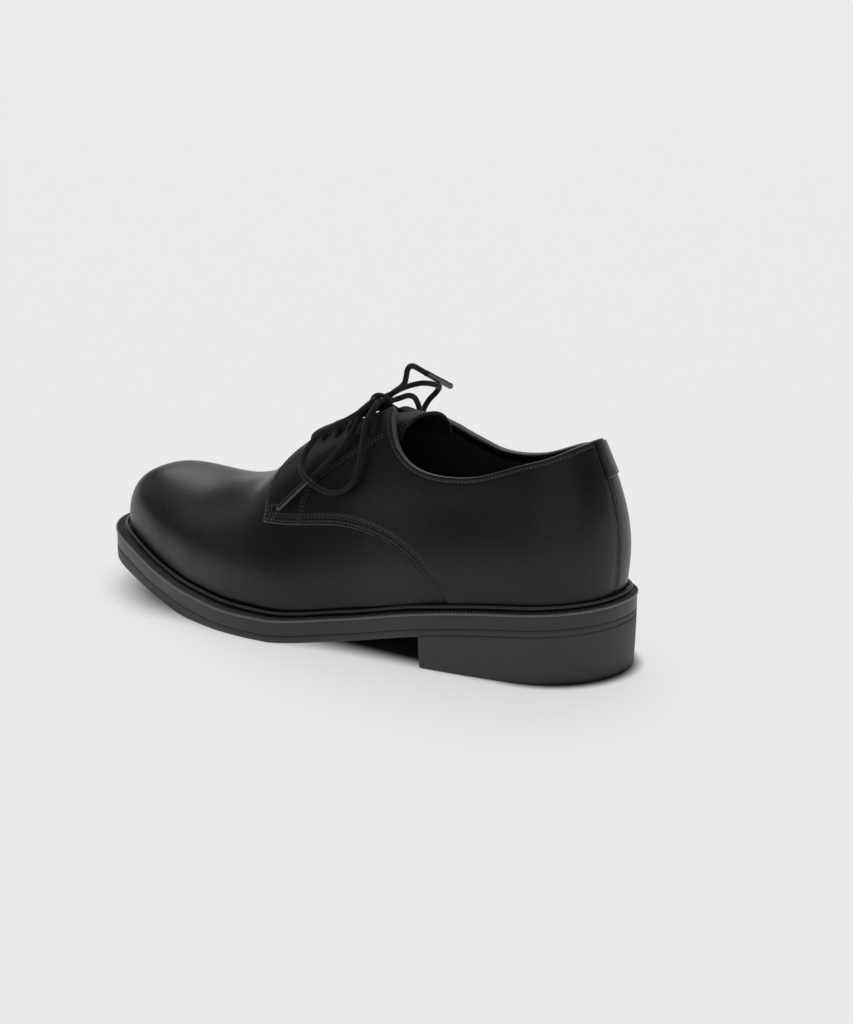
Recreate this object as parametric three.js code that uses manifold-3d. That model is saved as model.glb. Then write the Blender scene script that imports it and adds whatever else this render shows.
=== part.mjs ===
import * as THREE from 'three';
import { mergeVertices } from 'three/addons/utils/BufferGeometryUtils.js';
import Module from 'manifold-3d';

// A black plain-toe derby shoe, the left one of a pair, standing empty on its sole.
// Millimetres, +Z up, the toe towards -Y and the outer side of the foot towards +X.
// The origin lies on the floor under the middle of the heel.

const wasm = await Module();
wasm.setup();

// Driving dimensions

const SOLE_LENGTH = 300; // outsole from its back end to the toe tip
const BALL_WIDTH = 107; // outsole across the ball of the foot
const HEEL_OVERHANG = 38; // from the origin back to the sole's back end
const HEEL_LIFT = 23.7; // heel block, floor to the outsole at the very back
const HEEL_LENGTH = 82; // back end of the sole to the heel's breast
const TREAD = 3.6; // outsole at the waist
const WALL_HEIGHT = 7.4; // welt lip down to the seam over the outsole
const WELT_LEDGE = 7; // foot of the upper out to the welt lip, at the ball
const HEEL_ROUND = 36.5; // length of the outline's round back end
const TOE_ROUND = 76; // length of the outline's round toe
const TOE_BOX = 58; // length over which the toe rises from the welt to its crown
const INSTEP_HEIGHT = 98; // crown of the last above the feather line
const BACK_HEIGHT = 73; // collar above the feather line at the back
const BACK_LEAN = 12; // how far the back curve leans in at the collar
const QUARTER_LOW = 41.8; // front part of the quarters' lower edge above the feather line
const SHELL = 2; // vamp with its lining
const QUARTER_LEATHER = 1.2;
const PATCH_LEATHER = 0.8;
const TONGUE_LEATHER = 2;
const TONGUE_WIDTH = 42; // at its free end
const TONGUE_PLAY = 0.9; // from the tongue out to the facings
const INSOLE_THICKNESS = 3;
const INSOLE_PLAY = 1; // from the insole out to the wall
const THROAT_GAP = 22; // between the facings at the collar
const LACE = 3; // round cotton lace
const LACE_PLAY = 0.9; // from the lace bars down to the facings
const AGLET = 3.4;
const EYELET = 3.6;
const EYELET_INSET = 8; // eyelet's middle from the edge of its facing
const BEAD = 1.9; // round rand that hugs the upper's foot
const RAND_GAP = 0.75; // from the feather line out to the rand, clear of the wall's swell
const FIT = 0.3; // left between pieces that touch

// Materials, as the photograph shows them

function finish(name, color, roughness) {
  return new THREE.MeshStandardMaterial({ name, color, roughness, metalness: 0 });
}

const leather = finish('smooth black leather', 0x1d1d1f, 0.42);
const lining = finish('black lining leather', 0x151516, 0.6);
const rubber = finish('black moulded rubber', 0x232325, 0.7);
const weltRubber = finish('black welt rubber', 0x262628, 0.6);
const cotton = finish('black waxed cotton', 0x161617, 0.75);
const tip = finish('black lace tip', 0x0f0f10, 0.3);

// Sections along the sole. Shares: of the length from the back end; centre and half of the
// ball width, centre towards the outer side; rise of the heel lift, floor to outsole; tread
// of the outsole's thickness; ledge of the welt ledge.

const SOLE = [
  { share: 0.0, centre: 0.0, half: 0.332, rise: 1.0, tread: 1.0, ledge: 0.93 },
  { share: 0.15, centre: 0.056, half: 0.3645, rise: 0.869, tread: 1.0, ledge: 0.93 },
  { share: 0.27, centre: 0.098, half: 0.3645, rise: 0.646, tread: 1.0, ledge: 0.96 },
  { share: 0.42, centre: 0.103, half: 0.363, rise: 0.207, tread: 1.0, ledge: 0.9 },
  { share: 0.54, centre: 0.079, half: 0.47, rise: 0.0, tread: 1.0, ledge: 0.93 },
  { share: 0.64, centre: 0.042, half: 0.5, rise: 0.0, tread: 1.08, ledge: 1.0 },
  { share: 0.72, centre: 0.005, half: 0.4785, rise: 0.0, tread: 1.5, ledge: 1.0 },
  { share: 0.82, centre: -0.051, half: 0.4345, rise: 0.135, tread: 1.53, ledge: 1.0 },
  { share: 0.91, centre: -0.089, half: 0.43, rise: 0.32, tread: 1.95, ledge: 1.0 },
  { share: 1.0, centre: -0.093, half: 0.467, rise: 0.506, tread: 2.03, ledge: 1.0 },
];

// Sections of the last. Crown: ridge above the feather line, a share of the instep height.
// Ridge: its place across, a share of the ball width. Square: how square the section is.

const LAST = [
  { share: 0.0, crown: 0.894, ridge: 0.009, square: 2.2 },
  { share: 0.12, crown: 0.918, ridge: 0.009, square: 2.2 },
  { share: 0.25, crown: 0.98, ridge: 0.009, square: 2.2 },
  { share: 0.38, crown: 0.996, ridge: 0.023, square: 2.2 },
  { share: 0.48, crown: 0.88, ridge: 0.014, square: 2.1 },
  { share: 0.58, crown: 0.74, ridge: -0.009, square: 2.3 },
  { share: 0.66, crown: 0.547, ridge: -0.037, square: 2.4 },
  { share: 0.75, crown: 0.435, ridge: -0.065, square: 2.45 },
  { share: 0.85, crown: 0.389, ridge: -0.084, square: 2.5 },
  { share: 1.0, crown: 0.384, ridge: -0.093, square: 2.5 },
];

// The back curve. Up: a share of the back height. Back: a share of the lean, to the rear.

const BACK_CURVE = [
  { up: 0.0, back: 0.0 },
  { up: 0.15, back: 0.1 },
  { up: 0.3, back: 0.15 },
  { up: 0.48, back: 0.06 },
  { up: 0.68, back: -0.25 },
  { up: 0.85, back: -0.66 },
  { up: 1.0, back: -1.04 },
  { up: 1.3, back: -2.0 },
];

// Collar edge. Share of the sole's length, up: a share of the back height.

const COLLAR = [
  { share: -0.1, up: 1.02 },
  { share: 0.045, up: 1.01 },
  { share: 0.062, up: 0.973 },
  { share: 0.098, up: 0.907 },
  { share: 0.131, up: 0.872 },
  { share: 0.175, up: 0.83 },
  { share: 0.239, up: 0.807 },
  { share: 0.275, up: 0.816 },
  { share: 0.308, up: 0.864 },
  { share: 0.344, up: 0.947 },
  { share: 0.366, up: 1.011 },
  { share: 0.384, up: 1.116 },
  { share: 0.398, up: 1.241 },
  { share: 0.402, up: 1.4 },
];

// Lower edge of the quarters. Up: a share of the height of its front part.

const QUARTER_EDGE = [
  { share: 0.212, up: -0.2 },
  { share: 0.231, up: 0.08 },
  { share: 0.266, up: 0.32 },
  { share: 0.299, up: 0.54 },
  { share: 0.332, up: 0.7 },
  { share: 0.376, up: 0.85 },
  { share: 0.432, up: 0.966 },
  { share: 0.513, up: 1.0 },
  { share: 0.579, up: 0.974 },
  { share: 0.7, up: 0.92 },
];

// Front edge of the quarters in plan. Across: from the ridge, a share of the ball width.

const QUARTER_FRONT = [
  { across: 0.8, share: 0.577 },
  { across: 0.42, share: 0.579 },
  { across: 0.33, share: 0.591 },
  { across: 0.26, share: 0.594 },
  { across: 0.19, share: 0.588 },
  { across: 0.12, share: 0.575 },
  { across: 0.06, share: 0.56 },
];

// Throat between the facings. Gap: a share of the throat gap.

const THROAT = [
  { share: 0.36, gap: 1.06 },
  { share: 0.4, gap: 1.0 },
  { share: 0.45, gap: 0.86 },
  { share: 0.5, gap: 0.74 },
  { share: 0.545, gap: 0.62 },
  { share: 0.557, gap: 0.46 },
  { share: 0.563, gap: 0.2 },
];

// Patch over the back of the collar, on the inner side. Up: a share of the back height.

const PATCH_EDGE = [
  { share: -0.1, up: 0.8 },
  { share: 0.06, up: 0.78 },
  { share: 0.108, up: 0.7 },
  { share: 0.13, up: 0.71 },
  { share: 0.146, up: 0.86 },
  { share: 0.146, up: 1.2 },
];
const PATCH_WRAP = 0.8; // how far it passes the back seam to the outer side

// Tongue. Drop: how far it falls away from the last's crown, a share of the instep height.
// Reach: half of its turn around the section, a share of that at its free end.
// Curl: 0 where it follows the last, 1 where it is bent to a half circle.

const TONGUE = [
  { share: 0.352, drop: 0.094, reach: 1.0, curl: 1.0 },
  { share: 0.37, drop: 0.083, reach: 0.98, curl: 0.85 },
  { share: 0.4, drop: 0.053, reach: 0.93, curl: 0.5 },
  { share: 0.43, drop: 0.02, reach: 0.87, curl: 0.18 },
  { share: 0.47, drop: 0.0, reach: 0.78, curl: 0.0 },
  { share: 0.54, drop: 0.0, reach: 0.66, curl: 0.0 },
  { share: 0.6, drop: 0.0, reach: 0.6, curl: 0.0 },
];

// Eyelet rows from the collar down, as shares of the sole's length.

const EYELET_ROWS = [0.44, 0.47, 0.499, 0.527, 0.553];

// Reading the tables: a smooth curve through a column's values

function slopes(rows, at, column) {
  const found = rows.map(() => 0);
  const rise = (k) => (rows[k + 1][column] - rows[k][column]) / (rows[k + 1][at] - rows[k][at]);
  const last = rows.length - 1;
  found[0] = rise(0);
  found[last] = rise(last - 1);
  for (let k = 1; k < last; k += 1) {
    const before = rows[k][at] - rows[k - 1][at];
    const after = rows[k + 1][at] - rows[k][at];
    found[k] = (rise(k - 1) * after + rise(k) * before) / (before + after);
  }
  return found;
}

const slopeTables = new Map();

function read(rows, at, column, place) {
  if (!slopeTables.has(rows)) slopeTables.set(rows, {});
  const tables = slopeTables.get(rows);
  tables[column] ??= slopes(rows, at, column);
  const slope = tables[column];
  let k = 0;
  while (k < rows.length - 2 && place >= rows[k + 1][at]) k += 1;
  const span = rows[k + 1][at] - rows[k][at];
  const f = (place - rows[k][at]) / span;
  const low = rows[k][column];
  const high = rows[k + 1][column];
  const curve = (2 * f ** 3 - 3 * f ** 2 + 1) * low + (3 * f ** 2 - 2 * f ** 3) * high;
  return curve + (f ** 3 - 2 * f ** 2 + f) * span * slope[k] + (f ** 3 - f ** 2) * span * slope[k + 1];
}

const sole = (column, share) => read(SOLE, 'share', column, share);
const last = (column, share) => read(LAST, 'share', column, share);

function roundEnd(distance, length, power) {
  const left = Math.min(Math.max(1 - distance / length, 0), 1);
  return (1 - left ** power) ** (1 / power);
}

// The sole's outline and heights

const HEEL_POWER = 2.2;
const TOE_POWER = 2.14;
const TOE_BOX_POWER = 2.75;

const along = (share) => HEEL_OVERHANG - share * SOLE_LENGTH;
const floorGap = (share) => Math.max(sole('rise', share), 0) * HEEL_LIFT;
const seamHeight = (share) => floorGap(share) + sole('tread', share) * TREAD;
const lipHeight = (share) => seamHeight(share) + FIT + WALL_HEIGHT;
const SEAT = 1.4; // feather line above the welt lip
const featherHeight = (share) => lipHeight(share) + SEAT;
const ledge = (share) => sole('ledge', share) * WELT_LEDGE;

// Half width and place along the sole of a ring drawn in by an inset that may vary

function outline(step, inset) {
  const startInset = inset(0);
  const endInset = inset(1);
  const reach = SOLE_LENGTH - startInset - endInset;
  const fromBack = startInset + step * reach;
  const share = fromBack / SOLE_LENGTH;
  const heelEnd = roundEnd(fromBack - startInset, HEEL_ROUND - startInset, HEEL_POWER);
  const toeEnd = roundEnd(SOLE_LENGTH - endInset - fromBack, TOE_ROUND - endInset, TOE_POWER);
  const full = sole('half', share) * BALL_WIDTH - inset(share);
  const centre = sole('centre', share) * BALL_WIDTH;
  return { share, fromBack, centre, half: full * heelEnd * toeEnd, y: HEEL_OVERHANG - fromBack };
}

// A point of the last. Step runs from heel to toe, turn from 0 at the outer feather line over
// the ridge to half a circle at the inner one, and grow moves the surface outwards.

const BULGE = 0.06; // the wall swells over the feather line by this share of its half width
const BULGE_HEIGHT = 0.5; // share of the instep height over which it does
const BACK_FADE = 0.28; // share of the length over which the back curve dies out

function lastPoint(step, turn, grow) {
  const ring = outline(step, (share) => ledge(share) - grow);
  const square = last('square', ring.share);
  const toTip = (1 - step) * (SOLE_LENGTH - ledge(0) - ledge(1) + 2 * grow);
  const toeRise = roundEnd(toTip, TOE_BOX, TOE_BOX_POWER);
  const crown = (last('crown', ring.share) * INSTEP_HEIGHT + grow) * toeRise;
  const across = Math.sign(Math.cos(turn)) * Math.abs(Math.cos(turn)) ** (2 / square);
  const up = Math.abs(Math.sin(turn)) ** (2 / square);
  const height = up * crown;
  const swell = Math.sin(Math.PI * Math.min(height / (BULGE_HEIGHT * INSTEP_HEIGHT), 1));
  const lean = (last('ridge', ring.share) * BALL_WIDTH - ring.centre) * up * toeRise;
  const fade = Math.max(1 - step / BACK_FADE, 0) ** 1.5;
  const back = read(BACK_CURVE, 'up', 'back', Math.min(height / BACK_HEIGHT, 1.3)) * BACK_LEAN;
  return new THREE.Vector3(
    ring.centre + lean + ring.half * across * (1 + BULGE * swell),
    ring.y + back * fade,
    featherHeight(ring.share) + height,
  );
}

// Turning rows of sections into closed meshes

function closedGeometry(points, triangles) {
  const geometry = new THREE.BufferGeometry();
  geometry.setAttribute('position', new THREE.Float32BufferAttribute(points.flatMap((p) => p.toArray()), 3));
  geometry.setIndex(triangles.flat());
  const merged = mergeVertices(geometry, 1e-3);
  const index = merged.getIndex().array;
  const kept = [];
  for (let k = 0; k < index.length; k += 3) {
    const [a, b, c] = [index[k], index[k + 1], index[k + 2]];
    if (a !== b && b !== c && c !== a) kept.push(a, b, c);
  }
  merged.setIndex(kept);
  return merged;
}

function volumeOf(points, triangles) {
  const cross = new THREE.Vector3();
  return triangles.reduce((sum, [a, b, c]) => {
    cross.crossVectors(points[b], points[c]);
    return sum + points[a].dot(cross) / 6;
  }, 0);
}

// Sections are closed loops of equal length. Both ends are closed by strips from the first
// and last points of a loop to its middle, or the row of sections closes on itself.

function loft(sections, ring = false) {
  const points = sections.flat();
  const size = sections[0].length;
  const triangles = [];
  const spans = ring ? sections.length : sections.length - 1;
  for (let i = 0; i < spans; i += 1) {
    const here = i * size;
    const next = ((i + 1) % sections.length) * size;
    for (let j = 0; j < size; j += 1) {
      const k = (j + 1) % size;
      triangles.push([here + j, here + k, next + k], [here + j, next + k, next + j]);
    }
  }
  if (!ring) {
    const closeEnd = (first, flip) => {
      for (let j = 0; j < size / 2 - 1; j += 1) {
        const [a, b, c, d] = [first + j, first + j + 1, first + size - 2 - j, first + size - 1 - j];
        triangles.push(flip ? [a, c, b] : [a, b, c], flip ? [a, d, c] : [a, c, d]);
      }
    };
    closeEnd(0, true);
    closeEnd((sections.length - 1) * size, false);
  }
  const outward = volumeOf(points, triangles) > 0 ? triangles : triangles.map(([a, b, c]) => [a, c, b]);
  return closedGeometry(points, outward);
}

function toSolid(geometry) {
  const bare = geometry.index ? geometry : mergeVertices(geometry, 1e-3);
  return new wasm.Manifold(new wasm.Mesh({
    numProp: 3,
    vertProperties: new Float32Array(bare.getAttribute('position').array),
    triVerts: new Uint32Array(bare.getIndex().array),
  }));
}

function toGeometry(solid) {
  const mesh = solid.getMesh();
  const geometry = new THREE.BufferGeometry();
  geometry.setAttribute('position', new THREE.Float32BufferAttribute(mesh.vertProperties, 3));
  geometry.setIndex(Array.from(mesh.triVerts));
  return geometry;
}

function positionOnly(geometry) {
  geometry.deleteAttribute('normal');
  geometry.deleteAttribute('uv');
  return mergeVertices(geometry, 1e-3);
}

// Stations from heel to toe, closer together at both ends

function stations(count) {
  return Array.from({ length: count + 1 }, (_, k) => {
    const even = k / count;
    return 0.35 * even + 0.65 * (1 - Math.cos(Math.PI * even)) / 2;
  });
}

// Prisms that cut the forms: one across the shoe from a side view, one upright from a plan

const FAR = 250;

function sidePrism(outlinePoints) {
  const shape = new THREE.Shape(outlinePoints);
  const geometry = positionOnly(new THREE.ExtrudeGeometry(shape, { depth: 2 * FAR, bevelEnabled: false }));
  const axes = new THREE.Matrix4().makeBasis(
    new THREE.Vector3(0, 1, 0), new THREE.Vector3(0, 0, 1), new THREE.Vector3(1, 0, 0));
  geometry.applyMatrix4(axes);
  geometry.translate(-FAR, 0, 0);
  return toSolid(geometry);
}

function planPrism(outlinePoints, from, to) {
  const shape = new THREE.Shape(outlinePoints);
  const geometry = positionOnly(new THREE.ExtrudeGeometry(shape, { depth: to - from, bevelEnabled: false }));
  geometry.translate(0, 0, from);
  return toSolid(geometry);
}

const sidePoint = (share, height) => new THREE.Vector2(along(share), featherHeight(Math.max(share, 0)) + height);

// The last as a closed form, its underside flat or carried down to open what it is cut from

const LAST_STATIONS = 34;
const LAST_TURNS = 20;

function lastForm(grow, skirt) {
  return toSolid(loft(stations(LAST_STATIONS).map((step) => {
    const section = [];
    for (let j = 0; j <= LAST_TURNS; j += 1) section.push(lastPoint(step, Math.PI * j / LAST_TURNS, grow));
    if (skirt > 0) {
      const down = new THREE.Vector3(0, 0, -skirt);
      const outer = section[0].clone().add(down);
      const inner = section[LAST_TURNS].clone().add(down);
      section.push(inner);
      section.unshift(outer);
    } else {
      const middle = section[0].clone().add(section[LAST_TURNS]).multiplyScalar(0.5);
      section.push(middle);
    }
    return section;
  })));
}

// Mouth: everything over the collar edge, back from the facings' top

function mouthCutter() {
  const edge = COLLAR.map((row) => sidePoint(row.share, row.up * BACK_HEIGHT));
  const top = sidePoint(COLLAR.at(-1).share, FAR);
  const behind = sidePoint(COLLAR[0].share, FAR);
  return sidePrism([...edge, top, behind]);
}

// Throat: the slot between the two facings

function throatCutter() {
  const ridge = (share) => last('ridge', share) * BALL_WIDTH;
  const side = (sign) => THROAT.map((row) => new THREE.Vector2(
    ridge(row.share) + sign * row.gap * THROAT_GAP / 2, along(row.share)));
  return planPrism([...side(1), ...side(-1).reverse()], INSTEP_HEIGHT / 2, FAR);
}

const mouth = mouthCutter();
const throat = throatCutter();

// Upper: the vamp with its lining, one hollow shell, open at the collar, throat and underneath

function upper() {
  const shell = lastForm(0, 0).subtract(lastForm(-SHELL, 2 * SHELL));
  return toGeometry(shell.subtract(mouth).subtract(throat));
}

// Overlays lie on the upper, cut between two larger forms of the same last

function overlay(inner, thickness, ...cuts) {
  const skin = lastForm(inner + thickness, 0).subtract(lastForm(inner, 2 * SHELL));
  return cuts.reduce((solid, cut) => cut(solid), skin).subtract(mouth);
}

function eyeletCutter(side) {
  const holes = EYELET_ROWS.map((share) => {
    const place = eyeletPlace(share, side);
    const hole = positionOnly(new THREE.CylinderGeometry(EYELET / 2, EYELET / 2, 4 * QUARTER_LEATHER, 8));
    const turn = new THREE.Quaternion().setFromUnitVectors(new THREE.Vector3(0, 1, 0), place.normal);
    hole.applyQuaternion(turn);
    hole.translate(...place.point.toArray());
    return toSolid(hole);
  });
  return holes.reduce((all, hole) => all.add(hole));
}

// Where an eyelet goes: its distance in from the facing's edge, over the quarter's surface

const QUARTER_OUT = FIT + QUARTER_LEATHER;

function turnAt(share, across, grow) {
  const step = (share * SOLE_LENGTH - ledge(0) + grow) / (SOLE_LENGTH - ledge(0) - ledge(1) + 2 * grow);
  const target = last('ridge', share) * BALL_WIDTH + across;
  let low = 0;
  let high = Math.PI;
  for (let k = 0; k < 40; k += 1) {
    const middle = (low + high) / 2;
    if (lastPoint(step, middle, grow).x > target) low = middle;
    else high = middle;
  }
  return { step, turn: (low + high) / 2 };
}

function surfaceAt(share, across, grow) {
  const { step, turn } = turnAt(share, across, grow);
  const point = lastPoint(step, turn, grow);
  const small = 1e-3;
  const lengthwise = lastPoint(step + small, turn, grow).sub(lastPoint(step - small, turn, grow));
  const crosswise = lastPoint(step, turn + small, grow).sub(lastPoint(step, turn - small, grow));
  const normal = lengthwise.cross(crosswise).normalize();
  if (normal.z < 0) normal.negate();
  return { point, normal };
}

function eyeletPlace(share, side) {
  const across = read(THROAT, 'share', 'gap', share) * THROAT_GAP / 2 + EYELET_INSET;
  return surfaceAt(share, side * across, QUARTER_OUT);
}

function quarter(side) {
  const edge = QUARTER_EDGE.map((row) => sidePoint(row.share, row.up * QUARTER_LOW));
  const over = sidePrism([
    sidePoint(-0.1, -2 * SHELL), ...edge, sidePoint(0.7, FAR), sidePoint(-0.1, FAR)]);
  const front = QUARTER_FRONT.map((row) => new THREE.Vector2(
    side * row.across * BALL_WIDTH + last('ridge', row.share) * BALL_WIDTH, along(row.share)));
  const middle = side * FIT / 2;
  const plan = [
    new THREE.Vector2(middle, along(-0.1)),
    new THREE.Vector2(side * 0.8 * BALL_WIDTH, along(-0.1)),
    ...front,
    new THREE.Vector2(middle, front.at(-1).y),
  ];
  const behindFront = planPrism(plan, 0, FAR);
  const skin = overlay(
    FIT, QUARTER_LEATHER, (s) => s.intersect(over), (s) => s.intersect(behindFront), (s) => s.subtract(throat));
  return toGeometry(skin.subtract(eyeletCutter(side)));
}

function patch() {
  const edge = PATCH_EDGE.map((row) => sidePoint(row.share, row.up * BACK_HEIGHT));
  const area = sidePrism([...edge, sidePoint(-0.1, FAR)]);
  const inner = planPrism([
    new THREE.Vector2(PATCH_WRAP, along(-0.1)),
    new THREE.Vector2(-BALL_WIDTH, along(-0.1)),
    new THREE.Vector2(-BALL_WIDTH, 0),
    new THREE.Vector2(PATCH_WRAP, 0),
  ], 0, FAR);
  return toGeometry(overlay(
    QUARTER_OUT + FIT, PATCH_LEATHER, (s) => s.intersect(area), (s) => s.intersect(inner)));
}

// Tongue: a curved strip under the facings, its free end arched over the instep

function tongue() {
  const count = 12;
  const turns = 8;
  const first = TONGUE[0].share;
  const final = TONGUE.at(-1).share;
  const end = turnAt(first, TONGUE_WIDTH / 2, 0);
  const fullReach = Math.PI / 2 - end.turn;
  const top = -SHELL - TONGUE_PLAY;
  const place = (share, k, grow) => {
    const { step } = turnAt(share, 0, grow);
    const part = (2 * k) / turns - 1;
    const turn = Math.PI / 2 + part * fullReach * read(TONGUE, 'share', 'reach', share);
    const drop = read(TONGUE, 'share', 'drop', share) * INSTEP_HEIGHT;
    const point = lastPoint(step, turn, grow);
    point.z -= drop * (1 - 0.8 * part ** 2);
    const bend = (part * Math.PI) / 2;
    const radius = TONGUE_WIDTH / Math.PI;
    const curled = lastPoint(step, Math.PI / 2, grow);
    curled.x -= (radius + grow - top) * Math.sin(bend);
    curled.z -= drop + (radius + grow - top) * (1 - Math.cos(bend));
    return point.lerp(curled, Math.max(read(TONGUE, 'share', 'curl', share), 0));
  };
  const sections = [];
  for (let i = 0; i <= count; i += 1) {
    const share = first + ((final - first) * i) / count;
    const section = [];
    for (let k = 0; k <= turns; k += 1) section.push(place(share, k, top));
    for (let k = turns; k >= 0; k -= 1) section.push(place(share, k, top - TONGUE_LEATHER));
    sections.push(section);
  }
  return loft(sections);
}

// Sole pieces: a profile of inset and height on each side, carried from heel to toe

function soleSection(step, profile) {
  const side = (sign) => profile.map(({ inset, height }) => {
    const ring = outline(step, inset);
    return new THREE.Vector3(ring.centre + sign * ring.half, ring.y, height(ring.share));
  });
  return [...side(1), ...side(-1).reverse()];
}

function soleLoft(profile) {
  return loft(stations(LAST_STATIONS).map((step) => soleSection(step, profile)));
}

const fixed = (inset) => () => inset;
const overLip = (height) => (share) => lipHeight(share) + height;

// Welt lip, the groove under it and the midsole's wall; the top slopes up to the upper's foot

const WELT_SLOPE = 2; // rise of the welt's top from its lip to the rand
const LIP_THICKNESS = 0.8;
const LIP_BEVEL = 0.8; // the lip's top edge is worn round by this much
const GROOVE = 0.9; // depth of the groove under the lip
const GROOVE_HEIGHT = 0.7;
const WALL_INSET = 0.6; // the wall under the groove, in from the lip
const rand = (share) => ledge(share) - BEAD / 2 - quarterStep(share);

// The quarters are thicker than the vamp, so the rand stands off by their wall behind them

function quarterStep(share) {
  const [from, to] = [0.25, 0.3];
  const part = Math.min(Math.max((to - share) / (to - from), 0), 1);
  return RAND_GAP + QUARTER_OUT * part;
}

function midsole() {
  const grooveTop = -LIP_THICKNESS - GROOVE;
  const grooveFoot = grooveTop - GROOVE_HEIGHT;
  return soleLoft([
    { inset: (share) => ledge(share) + SHELL, height: overLip(SEAT - FIT) },
    { inset: (share) => rand(share) - BEAD / 2, height: overLip(SEAT - FIT) },
    { inset: (share) => rand(share) - BEAD / 2 - FIT, height: overLip(WELT_SLOPE) },
    { inset: fixed(LIP_BEVEL), height: overLip(LIP_BEVEL / 2) },
    { inset: fixed(0), height: overLip(0) },
    { inset: fixed(0), height: overLip(-LIP_THICKNESS) },
    { inset: fixed(GROOVE), height: overLip(grooveTop) },
    { inset: fixed(GROOVE), height: overLip(grooveFoot) },
    { inset: fixed(WALL_INSET), height: overLip(grooveFoot - WALL_INSET) },
    { inset: fixed(WALL_INSET), height: (share) => seamHeight(share) + FIT },
  ]);
}

const TREAD_EDGE = 1.2; // bevel of the outsole's lower edge

function outsole() {
  return soleLoft([
    { inset: fixed(WALL_INSET), height: seamHeight },
    { inset: fixed(WALL_INSET), height: (share) => floorGap(share) + TREAD_EDGE },
    { inset: fixed(WALL_INSET + TREAD_EDGE), height: floorGap },
  ]);
}

// Heel block with a small bevel at the floor. Every ring of it ends at the breast, which
// stands upright.

const HEEL_TAPER = 0.9;
const HEEL_BEVEL = 1;
const HEEL_STATIONS = 20;

function heel() {
  const rings = [
    { inset: WALL_INSET, height: (share) => floorGap(share) - FIT },
    { inset: WALL_INSET + HEEL_TAPER, height: () => HEEL_BEVEL },
    { inset: WALL_INSET + HEEL_TAPER + HEEL_BEVEL, height: () => 0 },
  ];
  const sections = [];
  for (let i = 0; i <= HEEL_STATIONS; i += 1) {
    const part = 1 - Math.cos((Math.PI / 2) * (i / HEEL_STATIONS));
    const side = (sign) => rings.map(({ inset, height }) => {
      const step = (part * (HEEL_LENGTH - inset)) / (SOLE_LENGTH - 2 * inset);
      const ring = outline(step, fixed(inset));
      return new THREE.Vector3(ring.centre + sign * ring.half, ring.y, height(ring.share));
    });
    sections.push([...side(1), ...side(-1).reverse()]);
  }
  return loft(sections);
}

// Rand: a round bead on the welt around the upper's foot

function randBead() {
  const sides = 5;
  const steps = stations(LAST_STATIONS);
  const loop = [...steps.map((step) => [step, 1]), ...steps.slice(1, -1).reverse().map((step) => [step, -1])];
  return loft(loop.map(([step, side]) => {
    const section = [];
    for (let k = 0; k < sides; k += 1) {
      const angle = (2 * Math.PI * (k + 0.5)) / sides;
      const out = (BEAD / 2) * Math.cos(angle);
      const ring = outline(step, (share) => rand(share) - out);
      const height = lipHeight(ring.share) + SEAT + BEAD / 2 + (BEAD / 2) * Math.sin(angle);
      section.push(new THREE.Vector3(ring.centre + side * ring.half, ring.y, height));
    }
    return section;
  }), true);
}

function insole() {
  const inset = (share) => ledge(share) + SHELL + INSOLE_PLAY;
  return soleLoft([
    { inset, height: (share) => featherHeight(share) + INSOLE_THICKNESS },
    { inset, height: featherHeight },
  ]);
}

// Round cord along hand-chosen points

function tube(points, diameter, steps, sides = 8) {
  const shape = new THREE.Shape();
  for (let k = 0; k < sides; k += 1) {
    const angle = (2 * Math.PI * k) / sides;
    const corner = [(diameter / 2) * Math.cos(angle), (diameter / 2) * Math.sin(angle)];
    if (k === 0) shape.moveTo(...corner);
    else shape.lineTo(...corner);
  }
  shape.closePath();
  const route = new THREE.CatmullRomCurve3(points.map((p) => new THREE.Vector3(...p)), false, 'centripetal');
  return positionOnly(new THREE.ExtrudeGeometry(shape, { extrudePath: route, steps, bevelEnabled: false }));
}

// A bar of lace across the throat, from eyelet to eyelet over both facings

const BAR_SAG = 0.6;

function laceBar(share) {
  const clear = QUARTER_OUT + LACE_PLAY + LACE / 2;
  const edge = read(THROAT, 'share', 'gap', share) * THROAT_GAP / 2 + EYELET_INSET;
  const points = [-1, -0.8, -0.4, 0, 0.4, 0.8, 1].map((part) => {
    const point = surfaceAt(share, part * edge, clear).point;
    point.z -= BAR_SAG * (1 - part ** 2);
    return point.toArray();
  });
  return tube(points, LACE, 8);
}

// Knot and the bow's loose runs, with points chosen by hand on the shoe as it stands

const KNOT = { x: 3.5, y: -96, z: 110.6, wide: 11, long: 9.5, tall: 6.6 };

function knot() {
  const body = positionOnly(new THREE.SphereGeometry(0.5, 10, 7));
  body.scale(KNOT.wide, KNOT.tall, KNOT.long);
  body.rotateX(Math.PI / 2);
  body.translate(KNOT.x, KNOT.y, KNOT.z);
  const wrap = positionOnly(new THREE.TorusGeometry(KNOT.long * 0.36, LACE / 2, 6, 12));
  wrap.rotateY(Math.PI / 2);
  wrap.rotateX(0.3);
  wrap.scale(1, 1.1, 0.86);
  wrap.translate(KNOT.x, KNOT.y, KNOT.z);
  return toGeometry(toSolid(body).add(toSolid(wrap)));
}

const OUTER_LOOP = [
  [10, -97.6, 110.6], [15.2, -97.6, 109], [18.6, -98.8, 106.9], [21.2, -105.8, 102.2], [22.8, -112.2, 98.3],
  [24.2, -116.6, 95.9], [26.4, -119.6, 92], [29.4, -121.6, 86.8], [33.6, -120.6, 82.6], [38.2, -116.8, 79.4],
  [40.2, -110.6, 76.4], [38.8, -102.4, 72.8], [37, -94.8, 73.8], [35.6, -89.8, 78], [32.6, -88.2, 86],
  [28.6, -89, 94.4], [24.2, -90.6, 102.8], [17, -91.4, 109.4], [10.6, -92.6, 112],
];

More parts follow.
